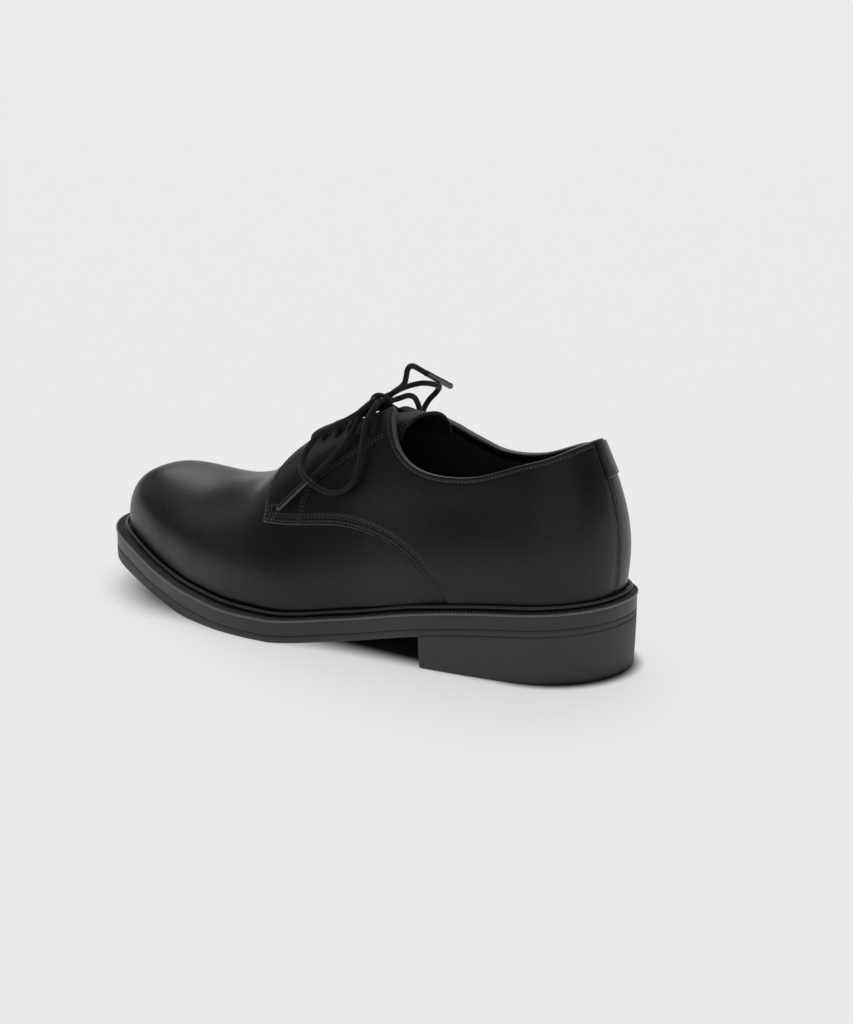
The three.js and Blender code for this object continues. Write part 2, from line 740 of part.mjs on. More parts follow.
const OUTER_END = [
  [8.8, -99.2, 107.4], [13.6, -99.6, 106.2], [19.6, -99.2, 101.4], [25.5, -101.1, 93.9], [30.3, -106.6, 85.6],
  [34.2, -111.8, 78.9], [35.6, -114.4, 76.2],
];

const OUTER_AGLET = [
  [35.9, -114.9, 75.7], [38.4, -118.2, 71.9], [41.2, -122.2, 67.1], [44.6, -127, 61.2],
];

const INNER_END = [
  [-1, -93.8, 113.1], [-5, -93.4, 114.3], [-8.6, -93.3, 115.2], [-11.4, -93.4, 117], [-12.6, -93.5, 119.6],
  [-13.8, -93.6, 122.4], [-16, -93.6, 123.6], [-19, -93.6, 123], [-23, -93.4, 120.9], [-28, -93.1, 118.1],
];

const INNER_AGLET = [
  [-28.4, -93, 117.9], [-33, -92.5, 115.3], [-40, -91.9, 111.6], [-47, -91.3, 107.9],
];

const INNER_LOOP = [
  [-2.5, -96.6, 111], [-7, -96.9, 112], [-12, -96.2, 113], [-17, -94.2, 114], [-23, -91.4, 114.4], [-31, -89.9, 112.3],
  [-36.6, -91.4, 109.8], [-37.4, -93.8, 106.8], [-34.4, -95.8, 103.4], [-31, -96.2, 100], [-28.4, -95.4, 97.6],
  [-25.2, -93.6, 98], [-22, -92.4, 101.4], [-19, -91.6, 105.6], [-15.4, -91, 109], [-10.6, -91, 110.8],
  [-6, -91.7, 110.6], [-1.7, -93.2, 109.9],
];

// Putting the shoe together

const group = new THREE.Group();

function add(name, geometry, material) {
  const mesh = new THREE.Mesh(geometry, material);
  mesh.name = name;
  group.add(mesh);
}

add('outsole', outsole(), rubber);
add('heel', heel(), rubber);
add('midsole_welt', midsole(), weltRubber);
add('rand', randBead(), weltRubber);
add('insole', insole(), lining);
add('upper', upper(), leather);
add('quarter_outer', quarter(1), leather);
add('quarter_inner', quarter(-1), leather);
add('heel_patch', patch(), leather);
add('tongue', tongue(), leather);
EYELET_ROWS.slice(1).forEach((share, k) => add(`lace_bar_${k + 1}`, laceBar(share), cotton));
add('knot', knot(), cotton);
add('loop_outer', tube(OUTER_LOOP, LACE, 36), cotton);
add('loop_inner', tube(INNER_LOOP, LACE, 28), cotton);
add('end_outer', tube(OUTER_END, LACE, 12), cotton);
add('end_inner', tube(INNER_END, LACE, 12), cotton);
add('aglet_outer', tube(OUTER_AGLET, AGLET, 5), tip);
add('aglet_inner', tube(INNER_AGLET, AGLET, 5), tip);

export default group;
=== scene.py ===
# %% [markdown]
# # A black plain-toe derby shoe
#
# A shoemaker pulls leather over a last, the solid form of a foot, and closes it from below
# with a sole. This lesson does the same with numbers. One function gives every point of the
# last, and the vamp, the quarters, the tongue and the stitches are all read from it, so that
# they lie on each other as they do on the real shoe. All lengths are in metres, the toe
# points to -Y, the outer side of this left shoe to +X, and the floor is at z = 0.

# %% The fixed frame
import math

import bmesh
import bpy
import numpy as np
from mathutils import Matrix, Vector


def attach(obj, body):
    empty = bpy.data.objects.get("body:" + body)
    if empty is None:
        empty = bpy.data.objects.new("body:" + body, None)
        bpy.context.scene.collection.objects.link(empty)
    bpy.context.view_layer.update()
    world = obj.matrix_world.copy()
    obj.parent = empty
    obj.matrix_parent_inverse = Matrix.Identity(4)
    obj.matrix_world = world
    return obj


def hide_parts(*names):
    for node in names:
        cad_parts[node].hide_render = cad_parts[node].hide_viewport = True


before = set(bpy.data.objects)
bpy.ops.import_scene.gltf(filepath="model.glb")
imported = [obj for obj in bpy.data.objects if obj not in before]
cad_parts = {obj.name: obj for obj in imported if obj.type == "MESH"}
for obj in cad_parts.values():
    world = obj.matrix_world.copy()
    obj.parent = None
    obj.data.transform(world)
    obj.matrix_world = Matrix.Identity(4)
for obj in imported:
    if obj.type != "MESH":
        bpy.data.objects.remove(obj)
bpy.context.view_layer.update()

MM = 0.001

# %% [markdown]
# ## Camera
#
# The photograph looks at the shoe's outer side and a little from behind, from slightly above.
# A long lens keeps the lines of the sole calm. The camera could be placed by eye, but here
# its turn, rise and distance are sizes like any other, so the view can be read and changed.

# %% Camera
FRAME_WIDE, FRAME_TALL = 853, 1024
SENSOR = 36.0
TURN = math.radians(35.5)
RISE = math.radians(15.5)
DISTANCE = 1.59
PIXELS_PER_METRE = 2090.0
AIM = Vector((0.0, -0.112, 0.045))
AIM_PIXEL = (359.8, 527.6)


def add_camera():
    to_camera = Vector((
        math.cos(TURN) * math.cos(RISE), math.sin(TURN) * math.cos(RISE), math.sin(RISE)))
    right = Vector((-math.sin(TURN), math.cos(TURN), 0.0))
    upward = to_camera.cross(right)
    sideways = (AIM_PIXEL[0] - FRAME_WIDE / 2) / PIXELS_PER_METRE
    lift = (FRAME_TALL / 2 - AIM_PIXEL[1]) / PIXELS_PER_METRE
    lens = bpy.data.cameras.new("camera")
    lens.sensor_width = SENSOR
    lens.lens = PIXELS_PER_METRE * DISTANCE * SENSOR / FRAME_TALL
    lens.clip_end = 30.0
    camera = bpy.data.objects.new("camera", lens)
    place = AIM + to_camera * DISTANCE - right * sideways - upward * lift
    axes = Matrix((right, upward, to_camera)).transposed()
    camera.matrix_world = Matrix.Translation(place) @ axes.to_4x4()
    bpy.context.scene.collection.objects.link(camera)
    bpy.context.scene.camera = camera
    return camera


print("camera lens in mm:", round(add_camera().data.lens, 1))

# %% [markdown]
# ## Materials
#
# A material is a small graph of nodes. Writing it link by link hides the idea, so a wrapped
# socket learns to add, subtract and multiply, and one method makes every other node. Black
# leather is not one black: its grain, its polish and its colour all drift a little, and this
# drift in roughness is what the eye reads as leather.

# %% Shader values as Python expressions
class Value:
    """One output of a node, on which sums, differences and products add Math nodes."""

    def __init__(self, finish, socket):
        self.finish = finish
        self.socket = socket

    def math(self, operation, first, second):
        return self.finish.node("ShaderNodeMath", {"operation": operation}, {0: first, 1: second})

    def __add__(self, other):
        return self.math("ADD", self, other)

    def __sub__(self, other):
        return self.math("SUBTRACT", self, other)

    def __rsub__(self, other):
        return self.math("SUBTRACT", other, self)

    def __mul__(self, other):
        return self.math("MULTIPLY", self, other)

    __radd__ = __add__
    __rmul__ = __mul__


class Finish:
    """A material, its Principled shader and one method that makes any node."""

    def __init__(self, name, **fixed):
        self.material = bpy.data.materials.new(name)
        self.material.use_nodes = True
        self.tree = self.material.node_tree
        self.shader = self.tree.nodes["Principled BSDF"]
        for socket, value in fixed.items():
            self.shader.inputs[socket.replace("_", " ")].default_value = value
        place = self.tree.nodes.new("ShaderNodeTexCoord")
        self.place = Value(self, place.outputs["Object"])

    def feed(self, socket, value):
        if isinstance(value, Value):
            self.tree.links.new(value.socket, socket)
        else:
            socket.default_value = value

    def node(self, kind, settings, inputs, output=0):
        made = self.tree.nodes.new(kind)
        for key, value in settings.items():
            if key == "stops":
                for element, (position, color) in zip(made.color_ramp.elements, value):
                    element.position = position
                    element.color = color
            else:
                setattr(made, key, value)
        for key, value in inputs.items():
            self.feed(made.inputs[key], value)
        return Value(self, made.outputs[output])

    def noise(self, scale, detail=3.0, roughness=0.5):
        return self.node("ShaderNodeTexNoise", {}, {
            "Vector": self.place, "Scale": scale, "Detail": detail, "Roughness": roughness})

    def cells(self, scale, feature="F1"):
        return self.node("ShaderNodeTexVoronoi", {"feature": feature}, {
            "Vector": self.place, "Scale": scale, "Randomness": 1.0})

    def between(self, factor, first, second):
        return self.node("ShaderNodeMix", {"data_type": "RGBA"}, {
            0: factor, 6: (*first, 1.0), 7: (*second, 1.0)}, output=2)

    def relief(self, height, distance, strength=1.0):
        bump = self.node("ShaderNodeBump", {}, {
            "Height": height, "Distance": distance, "Strength": strength})
        self.feed(self.shader.inputs["Normal"], bump)

    def color(self, value):
        self.feed(self.shader.inputs["Base Color"], value)

    def rough(self, value):
        self.feed(self.shader.inputs["Roughness"], value)


print("shader helpers ready")

# %% [markdown]
# Smooth calf leather has a fine closed grain, one or two pores to the millimetre, under a thin
# polish. The pores come from a Voronoi texture, the softer pull of the hide from noise. Along
# its cut edges and over the folded collar rim the leather is paler: partly bare leather, partly
# a painted highlight for the thin bright line these rounded edges catch. Along the front edge
# this painted line is paler still.

# %% Leather, lining and stitching thread
def smooth_leather(name, rough, shine):
    finish = Finish(name, Coat_Weight=shine / 6, Coat_Roughness=0.25, IOR=1.5,
                    Specular_IOR_Level=shine)
    hide = finish.noise(38.0, 4.0)
    patches = finish.noise(260.0, 3.0)
    pores = finish.cells(1500.0, "SMOOTH_F1")
    fine = finish.noise(5200.0, 2.0)
    finish.color(finish.between(hide, (0.0055, 0.0055, 0.0062), (0.0098, 0.0098, 0.0109)))
    finish.rough(rough + hide * 0.1 + patches * 0.08)
    finish.relief(pores * 0.7 + fine * 0.3 + patches * 0.6, 0.0002, 0.6)
    return finish.material


def bare_edge_and_highlight(name, pale):
    """Paler leather on cut edges and the folded rim: partly bare leather, partly painted highlight."""
    finish = Finish(name, IOR=1.5, Specular_IOR_Level=0.4)
    fibres = finish.noise(2400.0, 3.0)
    dark, light = (pale * 0.6, pale * 0.6, pale * 0.63), (pale, pale, pale * 1.05)
    finish.color(finish.between(fibres, dark, light))
    finish.rough(0.4 + fibres * 0.2)
    return finish.material


def lining_leather():
    finish = Finish("lining_leather", IOR=1.45, Specular_IOR_Level=0.25)
    hide = finish.noise(60.0, 3.0)
    pores = finish.cells(900.0)
    finish.color(finish.between(hide, (0.02, 0.02, 0.0215), (0.032, 0.032, 0.034)))
    finish.rough(0.62 + hide * 0.12)
    finish.relief(pores + hide * 0.4, 0.00008, 0.5)
    return finish.material


def thread():
    finish = Finish("stitching_thread", IOR=1.5, Specular_IOR_Level=0.5)
    twist = finish.noise(3000.0, 1.0)
    finish.color(finish.between(twist, (0.03, 0.03, 0.0315), (0.06, 0.06, 0.063)))
    finish.rough(0.34 + twist * 0.15)
    return finish.material


leather = smooth_leather("smooth_leather", 0.25, 0.3)
soft_leather = smooth_leather("tongue_leather", 0.48, 0.28)
# Paler leather for cut edges, the collar rim and the front edge: partly bare leather, partly painted
# highlight.
cut_edge_highlight_leather, front_edge_highlight_leather = bare_edge_and_highlight("cut_edge_highlight_leather", 0.1), bare_edge_and_highlight("front_edge_highlight_leather", 0.24)
lining, sewing = lining_leather(), thread()
print("made:", leather.name, soft_leather.name, lining.name, sewing.name)

# %% [markdown]
# The sole is moulded rubber. It is a shade lighter than the leather and duller, because the
# mould leaves a fine matt skin on it. The lace is braided cotton, and its tips are glossy film.

# %% Rubber, cotton and film
def moulded_rubber(name, dark, light, rough):
    finish = Finish(name, IOR=1.5)
    cloud = finish.noise(45.0, 4.0)
    skin = finish.noise(2600.0, 2.0)
    finish.color(finish.between(cloud, dark, light))
    finish.rough(rough + cloud * 0.08 + skin * 0.06)
    finish.relief(skin + cloud * 0.3, 0.00006, 0.5)
    return finish.material


def braided_cotton():
    finish = Finish("lace_cotton", IOR=1.45, Specular_IOR_Level=0.3, Sheen_Weight=0.08,
                    Sheen_Roughness=0.5)
    fuzz = finish.noise(4200.0, 2.0)
    finish.color(finish.between(fuzz, (0.0035, 0.0035, 0.0038), (0.0095, 0.0095, 0.01)))
    finish.rough(0.62 + fuzz * 0.2)
    finish.relief(fuzz, 0.0001, 0.6)
    return finish.material


def glossy_film():
    finish = Finish("lace_tip", IOR=1.5, Coat_Weight=0.6, Coat_Roughness=0.12)
    haze = finish.noise(900.0, 2.0)
    finish.color(finish.between(haze, (0.004, 0.004, 0.004), (0.008, 0.008, 0.0085)))
    finish.rough(0.2 + haze * 0.12)
    return finish.material


sole_rubber = moulded_rubber("sole_rubber", (0.026, 0.026, 0.0277), (0.034, 0.034, 0.0358), 0.5)
welt_rubber = moulded_rubber("welt_rubber", (0.016, 0.016, 0.0172), (0.022, 0.022, 0.0235), 0.33)
# The darkest rubber goes on the welt strip, and in its rib grooves it is painted shade.
strip_and_groove_shade_rubber = moulded_rubber("strip_and_groove_shade_rubber", (0.007, 0.007, 0.0076), (0.011, 0.011, 0.0118), 0.4)
# Pale rubber on the welt's lip is a painted highlight: the thin bright line its rounded edge catches.
lip_highlight_rubber = moulded_rubber("lip_highlight_rubber", (0.09, 0.09, 0.094), (0.13, 0.13, 0.136), 0.34)
cotton, film = braided_cotton(), glossy_film()
print("made:", sole_rubber.name, welt_rubber.name, cotton.name, film.name)

# %% [markdown]
# ## The last
#
# Every section of the last is one row of a table, with its place along the sole as a share
# of the length. A smooth curve through a column gives the value anywhere between two rows.
# It could be a sculpted mesh, but a formula can be asked for any point, which every later
# piece needs. The solids that carry this scene are shaped by such tables too.

# %% Sizes of the shoe
SOLE_LENGTH = 300 * MM
BALL_WIDTH = 107 * MM
HEEL_OVERHANG = 38 * MM
HEEL_LIFT = 23.7 * MM
HEEL_LENGTH = 82 * MM
TREAD = 3.6 * MM
WALL_HEIGHT = 7.4 * MM
WELT_LEDGE = 7 * MM
HEEL_ROUND = 36.5 * MM
TOE_ROUND = 76 * MM
TOE_BOX = 58 * MM
INSTEP_HEIGHT = 98 * MM
BACK_HEIGHT = 73 * MM
BACK_LEAN = 12 * MM
QUARTER_LOW = 41.8 * MM
SHELL = 2 * MM
QUARTER_LEATHER = 1.2 * MM
THROAT_GAP = 22 * MM
LACE = 3 * MM
AGLET = 3.4 * MM
EYELET_INSET = 8 * MM
FIT = 0.3 * MM
SEAT = 1.4 * MM
HEEL_POWER, TOE_POWER, TOE_BOX_POWER = 2.2, 2.14, 2.75
BULGE, BULGE_HEIGHT, BACK_FADE = 0.06, 0.5, 0.28
RIPPLE = 0.005

SOLE = {
    "share": [0.0, 0.15, 0.27, 0.42, 0.54, 0.64, 0.72, 0.82, 0.91, 1.0],
    "centre": [0.0, 0.056, 0.098, 0.103, 0.079, 0.042, 0.005, -0.051, -0.089, -0.093],
    "half": [0.332, 0.3645, 0.3645, 0.363, 0.47, 0.5, 0.4785, 0.4345, 0.43, 0.467],
    "rise": [1.0, 0.869, 0.646, 0.207, 0.0, 0.0, 0.0, 0.135, 0.32, 0.506],
    "tread": [1.0, 1.0, 1.0, 1.0, 1.0, 1.08, 1.5, 1.53, 1.95, 2.03],
    "ledge": [0.93, 0.93, 0.96, 0.9, 0.93, 1.0, 1.0, 1.0, 1.0, 1.0],
}
LAST = {
    "share": [0.0, 0.12, 0.25, 0.38, 0.48, 0.58, 0.66, 0.75, 0.85, 1.0],
    "crown": [0.894, 0.918, 0.98, 0.996, 0.88, 0.74, 0.547, 0.435, 0.389, 0.384],
    "ridge": [0.009, 0.009, 0.009, 0.023, 0.014, -0.009, -0.037, -0.065, -0.084, -0.093],
    "square": [2.2, 2.2, 2.2, 2.2, 2.1, 2.3, 2.4, 2.45, 2.5, 2.5],
}
BACK_CURVE = {
    "share": [0.0, 0.15, 0.3, 0.48, 0.68, 0.85, 1.0, 1.3],
    "back": [0.0, 0.1, 0.15, 0.06, -0.25, -0.66, -1.04, -2.0],
}
print("sole in mm:", round(SOLE_LENGTH / MM), "long,", round(BALL_WIDTH / MM), "wide")


# %% Reading a table as a smooth curve
def smooth(table, column, by="share"):
    at, value = np.array(table[by]), np.array(table[column])
    span = np.diff(at)
    rise = np.diff(value) / span
    slope = np.empty_like(value)
    slope[0], slope[-1] = rise[0], rise[-1]
    slope[1:-1] = (rise[:-1] * span[1:] + rise[1:] * span[:-1]) / (span[:-1] + span[1:])

    def read(place):
        place = np.clip(np.asarray(place, float), at[0], at[-1])
        k = np.clip(np.searchsorted(at, place, side="right") - 1, 0, len(at) - 2)
        f = (place - at[k]) / span[k]
        curve = (2 * f**3 - 3 * f**2 + 1) * value[k] + (3 * f**2 - 2 * f**3) * value[k + 1]
        bend = (f**3 - 2 * f**2 + f) * slope[k] + (f**3 - f**2) * slope[k + 1]
        return curve + bend * span[k]

    return read


sole_at = {column: smooth(SOLE, column) for column in SOLE if column != "share"}
last_at = {column: smooth(LAST, column) for column in LAST if column != "share"}
back_at = smooth(BACK_CURVE, "back")


def floor_gap(share):
    return np.maximum(sole_at["rise"](share), 0.0) * HEEL_LIFT


def seam_height(share):
    return floor_gap(share) + sole_at["tread"](share) * TREAD


def lip_height(share):
    return seam_height(share) + FIT + WALL_HEIGHT


def feather_height(share):
    return lip_height(share) + SEAT


def ledge(share):
    return sole_at["ledge"](share) * WELT_LEDGE


def round_end(distance, length, power):
    left = np.clip(1 - distance / length, 0, 1)
    return (1 - left**power) ** (1 / power)


print("toe spring in mm:", round(float(floor_gap(1.0)) / MM, 1))


# %% The outline of the sole and the points of the last
def outline(step, inset):
    start, end = float(inset(0.0)), float(inset(1.0))
    from_back = start + step * (SOLE_LENGTH - start - end)
    share = from_back / SOLE_LENGTH
    heel_end = round_end(from_back - start, HEEL_ROUND - start, HEEL_POWER)
    toe_end = round_end(SOLE_LENGTH - end - from_back, TOE_ROUND - end, TOE_POWER)
    half = (sole_at["half"](share) * BALL_WIDTH - inset(share)) * heel_end * toe_end
    return share, sole_at["centre"](share) * BALL_WIDTH, half, HEEL_OVERHANG - from_back


FEATHER_LENGTH = SOLE_LENGTH - float(ledge(0.0)) - float(ledge(1.0))


def close_at_ends(run):
    """Even turns around the round ends: small steps at the heel and toe, long ones between."""
    return (1 - np.cos(np.pi * run)) / 2


def run_at(share):
    """Place along the last, from 0 at the back seam to 1 at the toe, even in the round ends."""
    step = (np.asarray(share) * SOLE_LENGTH - float(ledge(0.0))) / FEATHER_LENGTH
    return np.arccos(1 - 2 * np.clip(step, 0, 1)) / np.pi


def share_at(run):
    step = close_at_ends(np.asarray(run))
    return (float(ledge(0.0)) + step * FEATHER_LENGTH) / SOLE_LENGTH


def ripple(share, turn):
    """Soft waves in the leather, none at the sole's edge."""
    return RIPPLE * np.sin(turn) * np.sin(23 * share + 2.6 * turn) * np.cos(4.2 * turn - 9 * share)


def last_points(run, turn):
    """Turn goes from 0 at the outer edge over the ridge to pi at the inner edge. A run under
    0 goes on around the back seam to the other side."""
    run, turn = np.broadcast_arrays(np.asarray(run, float), np.asarray(turn, float))
    turn = np.where(run < 0, np.pi - turn, turn)
    step = close_at_ends(np.abs(run))
    share, centre, half, y = outline(step, ledge)
    toe_rise = round_end((1 - step) * FEATHER_LENGTH, TOE_BOX, TOE_BOX_POWER)
    crown = last_at["crown"](share) * INSTEP_HEIGHT * toe_rise
    square = last_at["square"](share)
    across = np.sign(np.cos(turn)) * np.abs(np.cos(turn)) ** (2 / square)
    up = np.abs(np.sin(turn)) ** (2 / square)
    height = up * crown
    climb = np.minimum(height / (BULGE_HEIGHT * INSTEP_HEIGHT), 1)
    swell = 1.25 * np.sin(np.pi * climb) * (1 - climb**2)
    lean = (last_at["ridge"](share) * BALL_WIDTH - centre) * up * toe_rise
    fade = np.maximum(1 - step / BACK_FADE, 0) ** 1.5
    back = back_at(np.minimum(height / BACK_HEIGHT, 1.3)) * BACK_LEAN
    pull = ripple(share, turn)
    x = centre + lean + half * across * (1 + BULGE * swell + pull)
    height = height * (1 + pull)
    return np.stack([x, y + back * fade, feather_height(share) + height], axis=-1)


def unit(vectors):
    return vectors / np.maximum(np.linalg.norm(vectors, axis=-1, keepdims=True), 1e-12)


def last_normals(run, turn):
    small = 1e-3
    run = np.clip(run, -1 + 3 * small, 1 - 3 * small)
    turn = np.clip(turn, 3 * small, np.pi - 3 * small)
    lengthwise = last_points(run + small, turn) - last_points(run - small, turn)
    crosswise = last_points(run, turn + small) - last_points(run, turn - small)
    return unit(np.cross(crosswise, lengthwise))


def on_last(run, turn, lift=0.0):
    lift = np.asarray(lift, float)[..., None]
    return last_points(run, turn) + last_normals(run, turn) * lift


print("instep top in mm:", round(float(last_points(run_at(0.38), np.pi / 2)[2]) / MM, 1))


# %% [markdown]
# ## Edges of the leather
#
# A pattern maker draws the edges of the leather as lines on the last. Here an edge is a row of
# points in the side view, as shares of a height, and a search finds where the last reaches it.
# Cutting a finished mesh would be shorter to write, but it leaves ragged triangles.

# %% Edges in the side view
COLLAR = {
    "share": [-0.1, 0.045, 0.062, 0.098, 0.131, 0.175, 0.2, 0.24, 0.2663, 0.305, 0.326, 0.3423,
              0.358, 0.3693, 0.38, 0.388, 0.394, 0.402],
    "up": [1.02, 1.01, 0.973, 0.907, 0.872, 0.822, 0.802, 0.799, 0.8116, 0.858, 0.902, 0.951,
           1.011, 1.068, 1.136, 1.1955, 1.247, 1.32],
}
COLLAR_INNER = {
    "share": [-0.1, 0.045, 0.062, 0.098, 0.131, 0.17, 0.19, 0.218, 0.2476, 0.2772, 0.3054, 0.3331,
              0.3519, 0.3655, 0.3783, 0.3915, 0.41, 0.43],
    "up": [1.02, 1.01, 0.973, 0.907, 0.872, 0.825, 0.806, 0.8, 0.812, 0.847, 0.914, 0.99,
           1.047, 1.082, 1.114, 1.136, 1.155, 1.2],
}
QUARTER_EDGE = {
    "share": [0.212, 0.231, 0.266, 0.299, 0.332, 0.376, 0.432, 0.513, 0.579, 0.7],
    "up": [-0.2, 0.08, 0.32, 0.54, 0.7, 0.85, 0.966, 1.0, 0.974, 0.92],
}
QUARTER_FRONT = {
    "across": [0.06, 0.12, 0.19, 0.26, 0.33, 0.42, 0.8],
    "share": [0.56, 0.575, 0.588, 0.594, 0.591, 0.579, 0.577],
}
THROAT = {
    "share": [0.36, 0.4, 0.45, 0.5, 0.545, 0.557, 0.563, 0.57],
    "gap": [1.06, 1.0, 0.86, 0.74, 0.62, 0.46, 0.2, 0.0],
}
PATCH_EDGE = {
    "share": [-0.1, 0.06, 0.108, 0.13, 0.146],
    "up": [0.75, 0.73, 0.67, 0.68, 0.8],
}
throat_at = smooth(THROAT, "gap")
print("edges:", len(COLLAR["up"]), "points on the collar,", len(QUARTER_EDGE["up"]), "on the quarter")


# %% Finding the turn of an edge
def search(test, low, high, count=40):
    """Halves the span between low and high until test, which says go on, turns false."""
    for _ in range(count):
        middle = (low + high) / 2
        go_on = test(middle)
        low, high = np.where(go_on, middle, low), np.where(go_on, high, middle)
    return (low + high) / 2


def turn_under(run, height_of, side=1):
    """Turn at which the last reaches an edge that is drawn in the side view."""
    run = np.asarray(run, float)

    def below(turn):
        point = last_points(run, turn if side > 0 else np.pi - turn)
        share = (HEEL_OVERHANG - point[..., 1]) / SOLE_LENGTH
        return point[..., 2] < feather_height(np.maximum(share, 0)) + height_of(share)

    found = search(below, np.zeros_like(run), np.full_like(run, np.pi / 2))
    return found if side > 0 else np.pi - found


def turn_across(run, across):
    """Turn at a distance from the ridge, positive towards the outer side."""
    run, across = np.broadcast_arrays(np.asarray(run, float), np.asarray(across, float))
    target = last_at["ridge"](share_at(run)) * BALL_WIDTH + across
    further = lambda turn: last_points(run, turn)[..., 0] > target
    return search(further, np.zeros_like(run), np.full_like(run, np.pi))


def edge_up(table, scale):
    curve = smooth(table, "up")
    return lambda share: curve(share) * scale


middle_turn = float(turn_under(0.5, edge_up(QUARTER_EDGE, QUARTER_LOW)))
print("lower edge of the quarter at the middle, in degrees:", round(math.degrees(middle_turn), 1))


# %% Lines on the last
def pull_to_last(target, run, turn):
    """Run and turn of the place on the last nearest to each target, from a close start."""
    small = 1e-4
    for _ in range(8):
        here = last_points(run, turn)
        by_run = (last_points(run + small, turn) - here) / small
        by_turn = (last_points(run, turn + small) - here) / small
        miss = target - here
        pairs = ((by_run, by_run), (by_run, by_turn), (by_turn, by_turn))
        a, b, c = [(p * q).sum(-1) for p, q in pairs]
        d, e = (by_run * miss).sum(-1), (by_turn * miss).sum(-1)
        size = np.maximum(a * c - b * b, 1e-18)
        run = np.clip(run + np.clip((c * d - b * e) / size, -0.02, 0.02), -0.2, 0.98)
        turn = np.clip(turn + np.clip((a * e - b * d) / size, -0.05, 0.05), 0.004, np.pi - 0.004)
    return np.stack([run, turn], axis=-1)


def lengths_along(points):
    step = np.linalg.norm(np.diff(points, axis=0), axis=-1)
    return np.concatenate([np.zeros((1, *step.shape[1:])), np.cumsum(step, axis=0)])


def read_along(line, length, at):
    """Values of a line at other lengths than those of its own points."""
    return np.stack([np.interp(at, length, line[:, k]) for k in range(line.shape[1])], axis=-1)


def resample(params, places):
    """Points of a line, given as run and turn, at shares of its true length."""
    length = lengths_along(last_points(params[:, 0], params[:, 1]))
    return read_along(params, length, places * length[-1])


def beside(params, distance):
    """The same line moved sideways over the last, to the left of its way for the outer side."""
    line, normal = last_points(*params.T), last_normals(*params.T)
    left = unit(np.cross(normal, np.gradient(line, axis=0)))
    return pull_to_last(line + left * np.asarray(distance)[..., None], *params.T)


def rounded(distance, radius):
    """0 at an edge, 1 from one radius on, and a quarter of a circle between."""
    return np.sqrt(1 - (1 - np.clip(distance / radius, 0, 1)) ** 2)


ridge_length = lengths_along(last_points(run_at(np.linspace(0.58, 1, 50)), np.pi / 2))[-1]
print("vamp along the ridge in mm:", round(float(ridge_length) / MM, 1))

# %% Collar and throat
THROAT_START, THROAT_CLOSED = 0.38, 0.569
INNER_SPREAD = 0.45
SPREAD_FROM, SPREAD_OVER = 0.45, 0.05
collar_up = {1: edge_up(COLLAR, BACK_HEIGHT), -1: edge_up(COLLAR_INNER, BACK_HEIGHT)}
quarter_up = edge_up(QUARTER_EDGE, QUARTER_LOW)


def top_turn(run, side):
    """The collar edge behind the facing's corner and the edge of the throat before it."""
    collar = turn_under(run, collar_up[side], side)
    share = share_at(run)
    gap = np.clip(throat_at(share), 0, 1.1) * THROAT_GAP / 2
    if side < 0:
        spread_part = np.clip((SPREAD_FROM - share) / SPREAD_OVER, 0, 1)
        gap = gap * (1 + INNER_SPREAD * spread_part ** 1.5)
    throat = np.where(share > THROAT_START, turn_across(run, side * gap), np.pi / 2)
    edge = np.minimum(collar, throat) if side > 0 else np.maximum(collar, throat)
    return np.where(share > THROAT_CLOSED, np.pi / 2, edge)


print("collar at the back in degrees:", round(math.degrees(float(top_turn(0.0, 1))), 1))

# %% [markdown]
# ## Turning points into meshes
#
# Almost every piece is a grid of points or a row of closed loops. One helper writes the mesh,
# lets coinciding points grow together and shades it smoothly.

# %% Mesh helpers
def add_piece(name, points, faces, materials, kinds=None, weld=2e-6):
    mesh = bpy.data.meshes.new(name)
    mesh.from_pydata(np.asarray(points).reshape(-1, 3).tolist(), [], np.asarray(faces).tolist())
    for material in materials:
        mesh.materials.append(material)
    if kinds is not None:
        mesh.polygons.foreach_set("material_index", np.asarray(kinds, np.int32))
    shape = bmesh.new()
    shape.from_mesh(mesh)
    bmesh.ops.remove_doubles(shape, verts=shape.verts, dist=weld)
    bmesh.ops.dissolve_degenerate(shape, edges=shape.edges, dist=weld / 2)
    bmesh.ops.recalc_face_normals(shape, faces=shape.faces)
    shape.to_mesh(mesh)
    shape.free()
    mesh.shade_smooth()
    piece = bpy.data.objects.new(name, mesh)
    bpy.context.scene.collection.objects.link(piece)
    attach(piece, "root")
    print(name, "faces:", len(mesh.polygons))
    return piece


def grid_faces(rows, columns, first=0, wrap_rows=False, wrap_columns=False):
    i = np.arange(rows if wrap_rows else rows - 1)
    j = np.arange(columns if wrap_columns else columns - 1)
    i, j = [part.ravel() for part in np.meshgrid(i, j, indexing="ij")]
    down, across = (i + 1) % rows, (j + 1) % columns
    corners = [i * columns + j, i * columns + across, down * columns + across, down * columns + j]
    return np.stack(corners, axis=1) + first


def zip_faces(size, first):
    """Closes a loop of points by strips between its two long sides."""
    j = np.arange(size // 2 - 1)
    return np.stack([j, j + 1, size - 2 - j, size - 1 - j], axis=1) + first


def loft(name, loops, materials, closed=False, caps=True, kinds_of=None):
    """Loops of equal length, one after the other; kinds_of gives each loop place a material."""
    rows, columns = loops.shape[:2]
    faces = grid_faces(rows, columns, wrap_rows=closed, wrap_columns=True)
    if caps and not closed:
        ends = [zip_faces(columns, 0), zip_faces(columns, (rows - 1) * columns)]
        faces = np.concatenate([faces, *ends])
    kind_at = np.broadcast_to(0 if kinds_of is None else kinds_of, (rows, columns)).ravel()
    kinds = kind_at[faces[:, 0]]
    return add_piece(name, loops, faces, materials, kinds)


